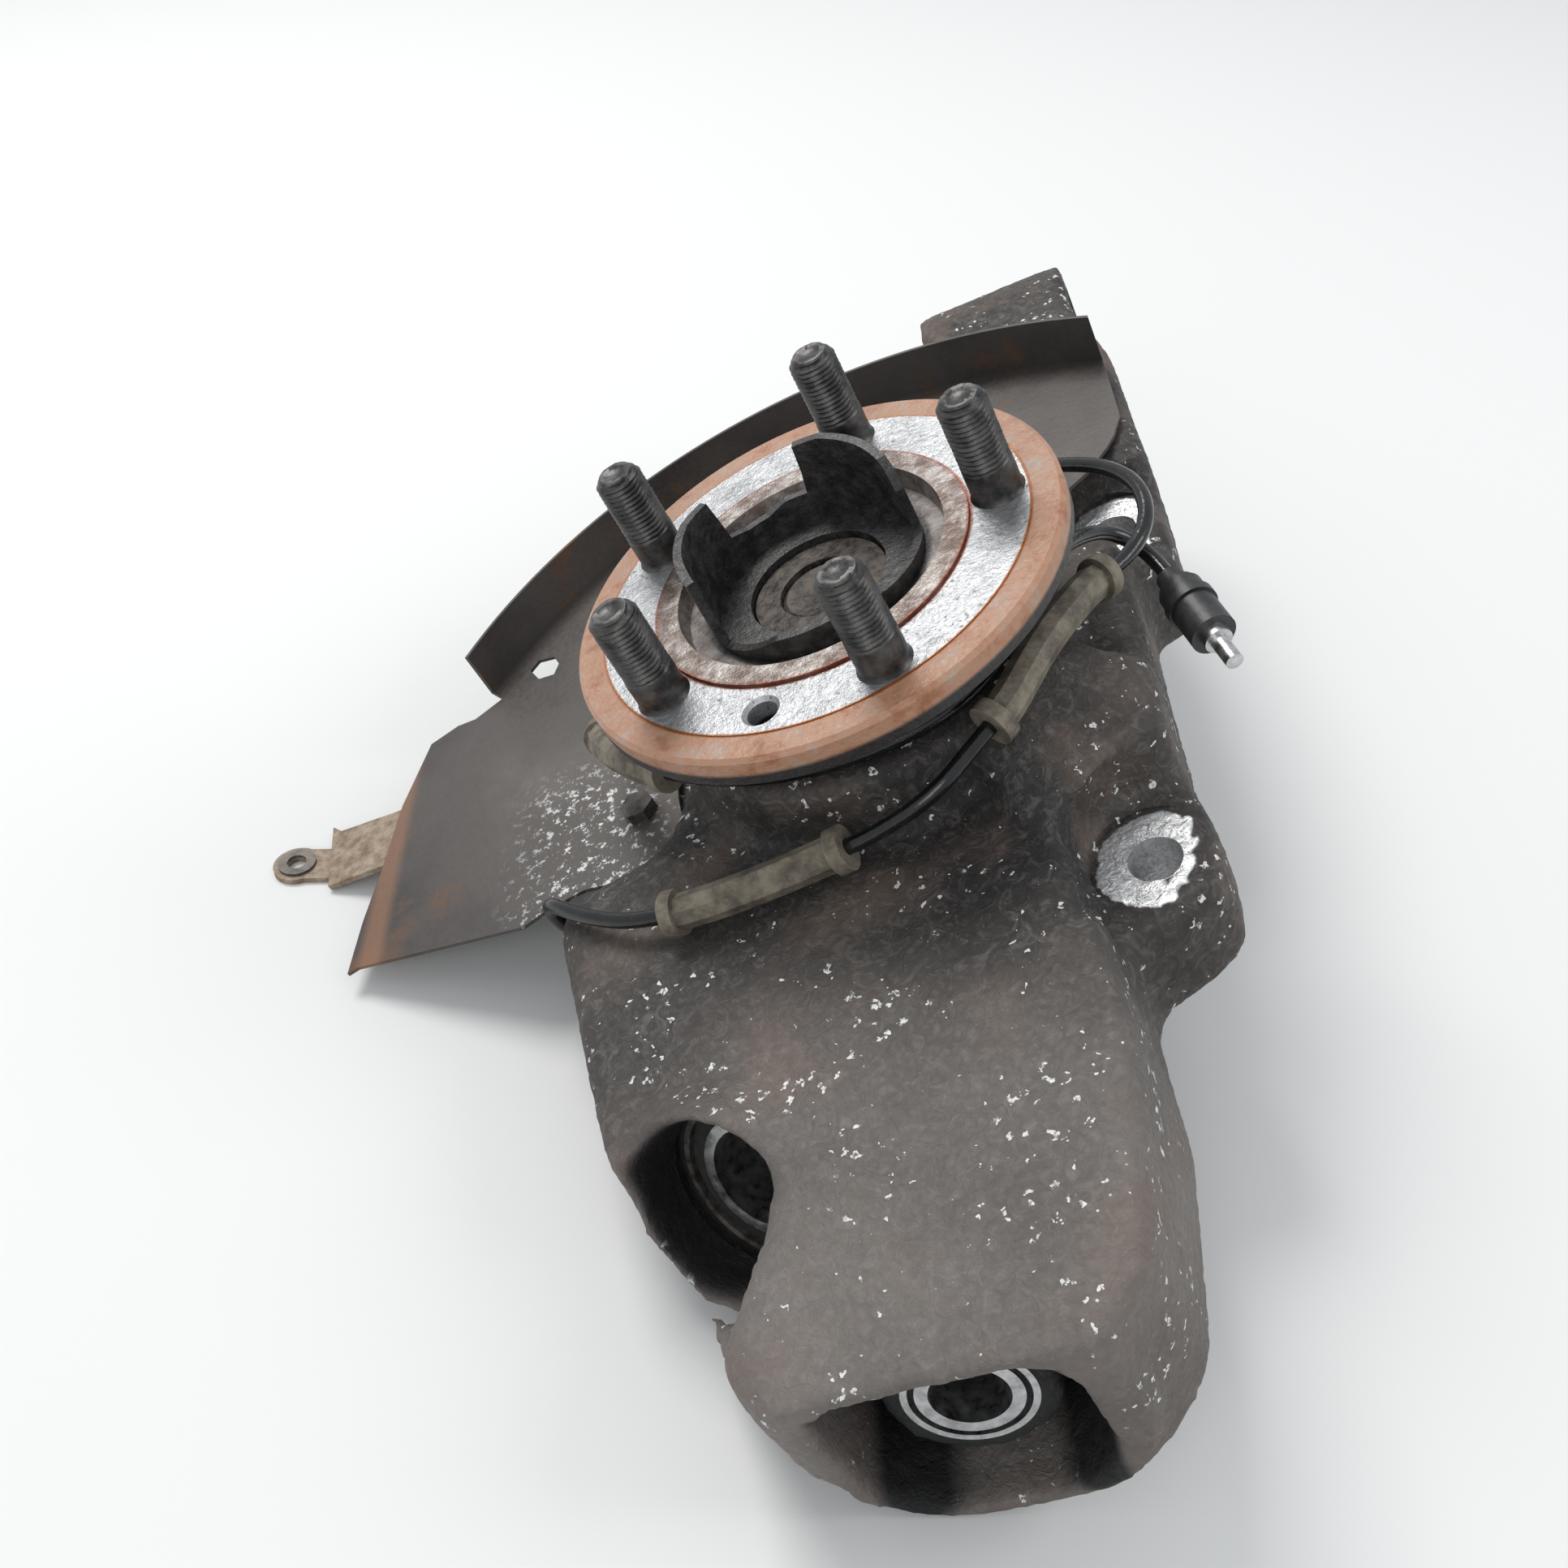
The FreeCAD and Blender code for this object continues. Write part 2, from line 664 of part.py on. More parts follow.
mouth_block = slab("mouth_block", [
    ("-mouth_left", "-mouth_low"), ("mouth_right", "-mouth_low"),
    ("mouth_right", "-mouth_top"), ("-mouth_left", "-mouth_top"),
], "mouth_front-mouth_depth", "mouth_depth")
round_upright(mouth_block, {("-mouth_left", "-mouth_low"): "mouth_low_round",
                            ("mouth_right", "-mouth_low"): "mouth_low_round"}, Vec(0, 1, 0))
mouth_hollow = slab("mouth_hollow", [
    ("-mouth_left+mouth_wall", "-mouth_low+mouth_floor_wall"),
    ("mouth_right-2*mouth_wall", "-mouth_low+mouth_floor_wall"),
    ("mouth_right-2*mouth_wall", "-mouth_top-mouth_floor_wall"),
    ("-mouth_left+mouth_wall", "-mouth_top-mouth_floor_wall"),
], "mouth_front-mouth_depth+mouth_wall", "mouth_depth")
round_upright(mouth_hollow, {
    ("-mouth_left+mouth_wall", "-mouth_low+mouth_floor_wall"): "mouth_low_round-mouth_wall",
    ("mouth_right-2*mouth_wall", "-mouth_low+mouth_floor_wall"): "mouth_low_round-mouth_wall",
    ("mouth_right-2*mouth_wall", "-mouth_top-mouth_floor_wall"): "mouth_top_round",
    ("-mouth_left+mouth_wall", "-mouth_top-mouth_floor_wall"): "mouth_top_round",
}, Vec(0, 1, 0))
lower_boss = cylinder("lower_boss_r", "lower_bush_long+12",
                      along(lower_front, lower_axis, -amount("lower_bush_long") - 12.0), lower_axis)
lower_bore = cylinder("lower_bush_r", "lower_bush_long+20",
                      along(lower_front, lower_axis, -amount("lower_bush_long")), lower_axis)

side_boss = cylinder("side_boss_r", "side_bush_long+20",
                     along(side_front, side_axis, -amount("side_bush_long") - 2.0), side_axis)
side_bore = cylinder("side_bush_r", "side_bush_long+1",
                     along(side_front, side_axis, -amount("side_bush_long")), side_axis)
side_pocket = cylinder("side_pocket_r", "80", along(side_front, side_axis, 0.0), side_axis)

arm = prism("arm", [
    ("20", "90"), ("30", "eye_y"), ("78", "eye_y"), ("90", "150"), ("91", "60"), ("40", "40"),
], "-wing_low-20", "-web_z+2")
eye = cylinder("eye_r", "eye_wide", ("eye_x-0.5*eye_wide", "eye_y", "eye_z"), Vec(1, 0, 0))
eye_bore = cylinder("upper_bush_r", "eye_wide+20", ("eye_x-0.5*eye_wide-10", "eye_y", "eye_z"),
                    Vec(1, 0, 0))
lug_eye = cylinder("rear_lug_r", "rear_lug_wide",
                   ("rear_lug_x", "rear_lug_y-0.5*rear_lug_wide", "rear_lug_z"), Vec(0, 1, 0))
lug_hole = cylinder("rear_lug_hole_r", "rear_lug_wide+20",
                    ("rear_lug_x", "rear_lug_y-0.5*rear_lug_wide-10", "rear_lug_z"), Vec(0, 1, 0))
lug_arm = prism("lug_arm", [
    ("rear_lug_x-rear_lug_r", "rear_lug_y-0.5*rear_lug_wide"),
    ("rear_lug_x+rear_lug_r", "rear_lug_y-0.5*rear_lug_wide"),
    ("rear_lug_x+rear_lug_r", "rear_lug_y+0.5*rear_lug_wide"),
    ("rear_lug_x-rear_lug_r", "rear_lug_y+0.5*rear_lug_wide"),
], "rear_lug_z", "-wing_low")

shield_bolt_spots = [("shield_bolt_%s_x" % letter, "shield_bolt_%s_y" % letter) for letter in "abc"]
pads = []
bolt_holes = []
for spot in shield_bolt_spots:
    pads.append(cylinder("pad_r", "web_z-shield_z-sheet+2", spot + ("-web_z-2",)))
    bolt_holes.append(cylinder("bolt_r", "bolt_long+20", spot + ("-shield_z-sheet-bolt_long",)))

sensor_dir = Vec(-1, 0, 0)
sensor_bore = cylinder("sensor_r+sensor_fit", "120", ("-seat_lip_r+4", "0", "sensor_z"), sensor_dir)
sensor_screw_hole = cylinder("bolt_r", "sensor_screw_long", ("sensor_tab_x", "sensor_screw_y", "sensor_z"),
                             Vec(1, 0, 0))
ear_hole_a = cylinder("ear_hole_r", "60", ("ear_a_x", "ear_a_y", "-ear_low-10"))
ear_hole_b = cylinder("ear_hole_r", "60", ("ear_b_x", "ear_b_y", "-ear_low-10"))
hub_well = cylinder("mouth_r", "spine_low-bearing_front-bearing_width-seat_lip_thick+20",
                    ("0", "0", "-spine_low-20"))
hub_bore = cylinder("seat_lip_r", "spine_low+20", ("0", "0", "-spine_low-20"))
bearing_room = cylinder("bearing_out_r", "bearing_width+30", ("0", "0", "-bearing_front-bearing_width"))
clip_room = cylinder("clip_out_r", "40", ("0", "0", "-bearing_front"))
front_room = cylinder("mouth_r", "40", ("0", "0", "-bearing_front+clip_thick"))

blank = fused(hub_boss, skirt, cut(plateau, ear_a_clear), wing, cut(spine, ear_a_clear), ear_a, ear_b,
              mouth_block, side_boss, arm, eye, lug_eye, lug_arm, *pads)
hollowed = cut(blank, mouth_hollow)
knuckle = cut(fused(hollowed, lower_boss), lower_bore, side_bore, side_pocket, ear_b_clear,
              hub_well, hub_bore, bearing_room, clip_room, front_room, ear_hole_a, ear_hole_b,
              eye_bore, lug_hole, sensor_bore, sensor_screw_hole, *bolt_holes)
keep(knuckle, "knuckle_casting")


# Bushes pressed into the casting

BUSH_TRIM = 2.0


def bush(label, outer, bore, length, front, axis):
    """Steel shell, rubber and inner sleeve of a pressed-in bush, from its front end."""
    def layer(name, big, small, trim):
        start = along(front, axis, -amount(length) + trim)
        span = length + "-%.2f" % (2.0 * trim)
        inner_start = along(front, axis, -amount(length) - 5.0)
        ring_piece = cut(cylinder(big, span, start, axis),
                         cylinder(small, length + "+10", inner_start, axis))
        keep(ring_piece, label + "_bush_" + name)
    layer("shell", outer, outer + "-bush_shell", 0.0)
    layer("rubber", outer + "-bush_shell", bore + "+sleeve_wall", BUSH_TRIM)
    layer("sleeve", bore + "+sleeve_wall", bore, 0.0)


bush("lower", "lower_bush_r", "lower_bore_r", "lower_bush_long", lower_front, lower_axis)
bush("side", "side_bush_r", "side_bore_r", "side_bush_long", side_front, side_axis)
eye_front = Vec(amount("eye_x+0.5*eye_wide"), amount("eye_y"), amount("eye_z"))
bush("upper", "upper_bush_r", "upper_bore_r", "eye_wide", eye_front, Vec(1, 0, 0))

# Splash shield

main_outline = [
    ("shield_right", "160"), ("shield_right", "102"), ("84", "91.7"), ("80.8", "86.3"),
    ("73.4", "77.7"), ("65.4", "71.8"), ("40", "40"), ("0", "0"), ("-66", "-4.5"), ("-120", "40"),
    ("-138", "71"), ("-146", "80"), ("-120", "150"), ("0", "190"),
]
shield_disc = cylinder("shield_r", "sheet", ("0", "0", "-shield_z-sheet"))
shield_main = doc.addObject("Part::Common", "shield_main")
shield_main.Base = prism("shield_plan", main_outline, "-shield_z-sheet-1", "-shield_z+1")
shield_main.Tool = shield_disc
lip_wall = cut(cylinder("shield_r", "shield_z+sheet-shield_lip_top", ("0", "0", "-shield_z-sheet")),
               cylinder("shield_r-sheet", "60", ("0", "0", "-shield_z-sheet-10")))
lip = doc.addObject("Part::Common", "lip")
lip.Base = lip_wall
lip.Tool = prism("lip_plan", [("shield_right", "120"), ("shield_right", "200"), ("-200", "200"),
                              ("-200", "90"), ("-143", "77"), ("-100", "60")],
                 "-shield_z-sheet-1", "-shield_lip_top+1")
panel = prism("panel", [
    ("-138", "71"), ("-148", "65"), ("-155", "64.7"), ("-165", "60"), ("-166.7", "53.3"),
    ("-172", "32.6"), ("-175", "4"), ("-178", "-16.6"), ("-179.5", "-37"), ("-176", "-35.7"),
    ("-145", "-38.5"), ("-117.5", "-41"), ("-109", "-37"), ("-97.5", "-34"), ("-86.7", "-35"),
    ("-76", "-32"), ("-69", "-27.5"), ("-65.6", "-15.7"), ("-66", "-4.5"), ("-60", "30"), ("-110", "60"),
], "-shield_z-sheet", "-shield_z")
shield_hub_hole = cylinder("shield_hub_r", "20", ("0", "0", "-shield_z-sheet-10"))
ragged_hole = prism("ragged_hole", [
    ("-128", "81"), ("-124", "74.5"), ("-118", "74"), ("-116.5", "79"), ("-119", "84"), ("-125", "85"),
], "-shield_z-sheet-1", "-shield_z+1")
bolt_slots = []
for spot in shield_bolt_spots:
    bolt_slots.append(cylinder("bolt_r+0.5", "10", spot + ("-shield_z-5",)))
keep(cut(fused(shield_main, lip, panel), shield_hub_hole, ragged_hole, *bolt_slots), "splash_shield")

bolts = []
for spot in shield_bolt_spots:
    head = doc.addObject("Part::Prism", "head")
    head.Polygon = 6
    bind(head, Circumradius="bolt_head_r", Height="bolt_head_thick",
         Placement__Base__x=spot[0], Placement__Base__y=spot[1], Placement__Base__z="-shield_z")
    shank = cylinder("bolt_r", "bolt_long+sheet", spot + ("-shield_z-sheet-bolt_long",))
    bolts.append(fused(head, shank))
all_bolts = doc.addObject("Part::Compound", "bolts")
all_bolts.Links = bolts
keep(all_bolts, "shield_bolts")

# Hose bracket: a tab under the shield and an eyelet that lies flat on the floor

tab = prism("tab", [
    ("-201", "35.7"), ("-197", "32.3"), ("-160", "32.3"), ("-160", "6"), ("-177", "8"), ("-197", "7"),
], "-shield_z-sheet-bracket_thick", "-shield_z-sheet")
level = POSE.inverse().Rotation
floor_up = level.multVec(Vec(0, 0, 1))
eyelet_flat = Vec(amount("eyelet_x"), amount("eyelet_y"), 0)
eyelet_z = (-amount("floor_drop") - floor_up.dot(eyelet_flat)) / floor_up.z
eyelet_spot = Vec(eyelet_flat.x, eyelet_flat.y, eyelet_z)
tongue = doc.addObject("Part::Box", "tongue")
bind(tongue, Length="eyelet_r*2", Width="eyelet_r*1.8", Height="bracket_thick")
tongue.Placement = FreeCAD.Placement(eyelet_spot - level.multVec(Vec(0, amount("eyelet_r*0.9"), 0)), level)
eyelet_disc = cylinder("eyelet_r", "bracket_thick", along(eyelet_spot, floor_up, 0.0), floor_up)
eyelet_hole = cylinder("eyelet_hole_r", "10", along(eyelet_spot, floor_up, -4.0), floor_up)
keep(cut(fused(tab, tongue, eyelet_disc), eyelet_hole), "hose_bracket")
washer_low = along(eyelet_spot, floor_up, amount("bracket_thick"))
keep(cut(cylinder("washer_r", "washer_thick", washer_low, floor_up),
         cylinder("eyelet_hole_r", "10", along(eyelet_spot, floor_up, -4.0), floor_up)), "eyelet_washer")

# Speed sensor, its bolt and its cable

sensor_body = cylinder("sensor_r", "-sensor_tip_r-sensor_tab_x", ("-sensor_tip_r", "0", "sensor_z"),
                       sensor_dir)
sensor_tab = doc.addObject("Part::Box", "sensor_tab")
bind(sensor_tab, Length="sensor_tab_thick", Width="sensor_tab_wide", Height="2*sensor_r+2",
     Placement__Base__x="sensor_tab_x-sensor_tab_thick", Placement__Base__y="sensor_tab_y",
     Placement__Base__z="sensor_z-sensor_r-1")
sensor_cap = cylinder("sensor_r", "sensor_cap_long", ("sensor_tab_x-sensor_tab_thick", "0", "sensor_z"), sensor_dir)
sensor_screw_clear = cylinder("bolt_r", "10",
                              ("sensor_tab_x-sensor_tab_thick-1", "sensor_screw_y", "sensor_z"),
                              Vec(1, 0, 0))
sensor_outlet = cylinder("sensor_outlet_r", "sensor_r+1", ("sensor_tab_x-sensor_tab_thick-4", "0", "sensor_z"),
                         Vec(0, -1, 0))
keep(cut(fused(sensor_body, sensor_tab, sensor_cap, sensor_outlet), sensor_screw_clear), "abs_sensor")
screw_head = cylinder("bolt_head_r", "bolt_head_thick",
                      ("sensor_tab_x-sensor_tab_thick-bolt_head_thick", "sensor_screw_y", "sensor_z"),
                      Vec(1, 0, 0))
screw_shank = cylinder("bolt_r", "sensor_screw_long",
                       ("sensor_tab_x-sensor_tab_thick", "sensor_screw_y", "sensor_z"), Vec(1, 0, 0))
keep(fused(screw_head, screw_shank), "sensor_bolt")

# The cable's route, from the sensor, once round the hub's neck, to its connector
cable_route = [
    (-99, -9, -78.2), (-99, -20.5, -78.2), (-104, -31.5, -73.5), (-107, -38.3, -66), (-106.3, -41, -58.5),
    (-105, -43.2, -50.5), (-100.5, -47.5, -46.2), (-90, -56.5, -45), (-74, -66, -44), (-53, -70, -42),
    (-34, -70.5, -40.5), (-15, -69.5, -39), (1, -70, -36), (18.7, -69.9, -29.6), (30.5, -61.5, -26.5), (41, -52, -25.4),
    (54, -31, -25.4), (67.3, -9, -31.5), (78, 2, -36.5), (87, 15, -36.5), (88, 31, -35.5),
    (81, 47, -36.5), (67, 62, -40), (50, 77, -47), (30, 86, -53), (2, 92, -54.4), (-30, 88, -54.4),
    (-58, 72, -53), (-78, 48, -48), (-86, 18, -40), (-79, -6, -31), (-62, -28, -25.5),
    (-42, -44, -22), (-27, -49, -24), (-10, -51.5, -25.4), (11, -51, -25.4), (27, -46, -25.4),
    (38, -37, -25.4), (46, -26, -25.4), (52, -13, -25.2), (62, 3, -26), (68, 17, -34.5),
    (75.5, 28, -44), (84.3, 24.5, -53.7), (87.5, 12, -55),
]
spots = [Vec(*spot) for spot in cable_route]


def cord_edges(points):
    """Straight runs joined by arcs, each as large as its two runs allow."""
    edges = []
    radii = []
    last = points[0]
    for before, corner, after in zip(points, points[1:], points[2:]):
        back = before - corner
        ahead = after - corner
        shorter = min(back.Length, ahead.Length)
        turn = math.pi - back.getAngle(ahead)
        reach = 0.45 * shorter
        radii.append(reach / math.tan(turn / 2.0))
        start = corner + back.normalize() * reach
        end = corner + ahead.normalize() * reach
        inward = (back + ahead).normalize()
        middle_spot = corner + inward * (radii[-1] / math.cos(turn / 2.0) - radii[-1])
        edges.append(Part.LineSegment(last, start).toShape())
        edges.append(Part.Arc(start, middle_spot, end).toShape())
        last = end
    edges.append(Part.LineSegment(last, points[-1]).toShape())
    return edges, radii


CORD_SIDES = 8


def section_area(radius):
    return 0.5 * CORD_SIDES * radius ** 2 * math.sin(2 * math.pi / CORD_SIDES)


def pipe(edges, radius):
    """A tube with few sides along joined edges."""
    first = edges[0]
    start = first.valueAt(first.FirstParameter)
    heading = first.tangentAt(first.FirstParameter)
    circle = Part.Circle(start, heading, radius)
    corners = [circle.value(2 * math.pi * index / CORD_SIDES) for index in range(CORD_SIDES)]
    section = Part.makePolygon(corners + corners[:1])
    return Part.Wire(edges).makePipeShell([section], True, True)


route_edges, bend_radii = cord_edges(spots)
cable_shape = pipe(route_edges, amount("cable_r"))
cable_length = sum(edge.Length for edge in route_edges)
print("cable length %.1f, smallest bend radius %.1f" % (cable_length, min(bend_radii)))
print("bend radii", " ".join("%.0f" % radius for radius in bend_radii))
print("volume over section times length %.4f"
      % (cable_shape.Volume / (section_area(amount("cable_r")) * cable_length)))
keep(scripted("abs_cable", cable_shape), "abs_cable")


def grommet(label, first, last, collar_radius):
    """A rubber sleeve on the cable between two bends, with a collar at each end."""
    covered = route_edges[2 * first - 1:2 * last]
    body = pipe(covered, amount("sleeve_r"))
    ends = []
    for edge, parameter, sense in ((covered[0], covered[0].FirstParameter, 1.0),
                                   (covered[-1], covered[-1].LastParameter, -1.0)):
        heading = edge.tangentAt(parameter) * sense
        ends.append(Part.makeCylinder(collar_radius, amount("collar_long"), edge.valueAt(parameter), heading))
    whole = body.fuse(ends).cut(cable_shape)
    keep(scripted(label, whole), label)


grommet("grommet_lower", 9, 11, amount("collar_r"))
grommet("grommet_upper", 15, 17, amount("collar_r"))
grommet("grommet_hub", 30, 31, amount("sleeve_r+0.8"))

plug_start = spots[-1]
plug_dir = Vec(amount("plug_dir_x"), amount("plug_dir_y"), amount("plug_dir_z")).normalize()
boot_neck = cylinder("plug_r-2.5", "boot_long", along(plug_start, plug_dir, 0.0), plug_dir)
boot_rim = cylinder("plug_r-1", "2", along(plug_start, plug_dir, amount("boot_long-2")), plug_dir)
keep(fused(boot_neck, boot_rim), "connector_boot")
shell_start = amount("boot_long")
shell = cylinder("plug_r", "shell_long", along(plug_start, plug_dir, shell_start), plug_dir)
shell_rib = cylinder("plug_r+0.8", "3", along(plug_start, plug_dir, shell_start + 5.0), plug_dir)
keep(fused(shell, shell_rib), "cable_connector")
pin_start = amount("boot_long+shell_long")
pin_root = cylinder("pin_r+1.5", "3", along(plug_start, plug_dir, pin_start), plug_dir)
pin = cylinder("pin_r", "pin_long", along(plug_start, plug_dir, pin_start), plug_dir)
keep(fused(pin_root, pin), "connector_pin")

# Check every object, then write each sub-part

doc.recompute()
failed = [item.Name for item in doc.Objects if "Invalid" in item.State or "Error" in item.State]
if failed:
    raise RuntimeError("failed objects: " + ", ".join(failed))
os.makedirs("parts", exist_ok=True)
for piece in pieces:
    shape = piece.Shape
    if shape.isNull() or not shape.isValid():
        raise RuntimeError("bad shape: " + piece.Label)
    print("%-26s solids %2d volume %10.1f" % (piece.Label, len(shape.Solids), shape.Volume))
    shape.exportStep("parts/%s.step" % piece.Label)
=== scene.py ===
import bpy
import bmesh
import math
import random
import numpy as np
from mathutils import Matrix, Vector, noise


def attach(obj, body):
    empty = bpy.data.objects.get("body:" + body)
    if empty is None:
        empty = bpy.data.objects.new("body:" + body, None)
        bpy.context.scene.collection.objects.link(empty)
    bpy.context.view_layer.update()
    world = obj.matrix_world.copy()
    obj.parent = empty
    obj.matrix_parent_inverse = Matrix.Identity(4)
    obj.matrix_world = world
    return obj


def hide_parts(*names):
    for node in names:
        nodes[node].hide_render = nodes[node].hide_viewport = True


# Wheel hub on its knuckle, lying tipped on a pale floor. Lengths below are millimetres in
# the hub's own frame (Z = wheel axis, 0 = seating face) unless a name or comment says otherwise.

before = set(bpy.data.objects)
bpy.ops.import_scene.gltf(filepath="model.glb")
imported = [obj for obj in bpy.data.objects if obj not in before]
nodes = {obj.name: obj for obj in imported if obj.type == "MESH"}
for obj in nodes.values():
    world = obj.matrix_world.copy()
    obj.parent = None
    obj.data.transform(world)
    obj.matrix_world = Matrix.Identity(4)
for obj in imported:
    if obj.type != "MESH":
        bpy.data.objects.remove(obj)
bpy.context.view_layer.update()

MM = 0.001
TIP_HEADING = math.radians(-78.644)
TIP_ANGLE = math.radians(23.168)
TIP = Matrix.Rotation(TIP_ANGLE, 3, Vector((math.cos(TIP_HEADING), math.sin(TIP_HEADING), 0)))
UNTIP = TIP.transposed()
X_AXIS = (1, 0, 0)
Y_AXIS = (0, 1, 0)
Z_AXIS = (0, 0, 1)


def place(x, y, z):
    """A point of the hub's own frame, in metres of the shared frame."""
    return TIP @ Vector((x, y, z)) * MM


def new_object(name, data):
    """Make an object and put it in the scene."""
    made = bpy.data.objects.new(name, data)
    bpy.context.scene.collection.objects.link(made)
    return made


# Camera as the photograph was taken, in metres of the shared frame

SENSOR_WIDTH_MM = 36.0
LENS_MM = 37.65
NEAREST_SEEN = 0.01
CAMERA_RIGHT = Vector((0.99974, 0.0, -0.02271))
CAMERA_DOWN = Vector((-0.0175, -0.63753, -0.77022))
CAMERA_AHEAD = Vector((-0.01448, 0.77042, -0.63736))
CAMERA_SPOT = Vector((-0.00135, -0.3788, 0.2366))


def add_camera():
    data = bpy.data.cameras.new("camera")
    data.sensor_width = SENSOR_WIDTH_MM
    data.lens = LENS_MM
    data.clip_start = NEAREST_SEEN
    camera = new_object("camera", data)
    columns = (CAMERA_RIGHT, -CAMERA_DOWN, -CAMERA_AHEAD, CAMERA_SPOT)
    rows = [[column[row] for column in columns] for row in range(3)]
    camera.matrix_world = Matrix((*rows, (0, 0, 0, 1)))
    bpy.context.scene.camera = camera


# Light and floor, in metres and watts: name, spot, target, size, power, colour

LIGHTS = (
    ("key", (-0.7, 0.9, 1.5), (0, 0, -0.05), 0.9, 26.0, (1.0, 0.99, 0.97)),
    ("side", (1.4, -0.2, 1.0), (0, 0, -0.05), 0.9, 9.0, (1, 1, 1)),
    ("front", (-0.6, -1.4, 0.8), (0, 0, -0.08), 1.0, 7.0, (1, 1, 1)),
)
SKY_COLOUR = (0.86, 0.9, 0.95, 1)
SKY_STRENGTH = 0.75
FLOOR_Z = -0.1314
FLOOR_REACH = 6.0
FLOOR_COLOUR = (0.66, 0.66, 0.65, 1)
FLOOR_ROUGHNESS = 0.75


def add_light(name, spot, target, size, power, colour):
    data = bpy.data.lights.new(name, "AREA")
    data.shape = "DISK"
    data.size = size
    data.energy = power
    data.color = colour
    lamp = new_object(name, data)
    lamp.location = spot
    lamp.rotation_euler = (Vector(target) - Vector(spot)).to_track_quat("-Z", "Y").to_euler()


def add_stage():
    bpy.context.scene.view_settings.view_transform = "Standard"
    world = bpy.data.worlds.new("studio")
    bpy.context.scene.world = world
    world.use_nodes = True
    tree = world.node_tree
    tree.nodes.clear()
    out = tree.nodes.new("ShaderNodeOutputWorld")
    soft = tree.nodes.new("ShaderNodeBackground")
    soft.inputs["Color"].default_value = SKY_COLOUR
    soft.inputs["Strength"].default_value = SKY_STRENGTH
    tree.links.new(soft.outputs[0], out.inputs[0])
    for light in LIGHTS:
        add_light(*light)
    mesh = bpy.data.meshes.new("floor")
    corners = [(-FLOOR_REACH, -FLOOR_REACH, FLOOR_Z), (FLOOR_REACH, -FLOOR_REACH, FLOOR_Z),
               (FLOOR_REACH, FLOOR_REACH, FLOOR_Z), (-FLOOR_REACH, FLOOR_REACH, FLOOR_Z)]
    mesh.from_pydata(corners, [], [(0, 1, 2, 3)])
    floor = new_object("floor", mesh)
    material = bpy.data.materials.new("floor")
    material.use_nodes = True
    shader = material.node_tree.nodes["Principled BSDF"]
    shader.inputs["Base Color"].default_value = FLOOR_COLOUR
    shader.inputs["Roughness"].default_value = FLOOR_ROUGHNESS
    floor.data.materials.append(material)


# Small node-graph helpers

MIX_FACTOR, MIX_FIRST, MIX_SECOND = 0, 6, 7    # sockets of a colour mix node
MIX_RESULT = 2


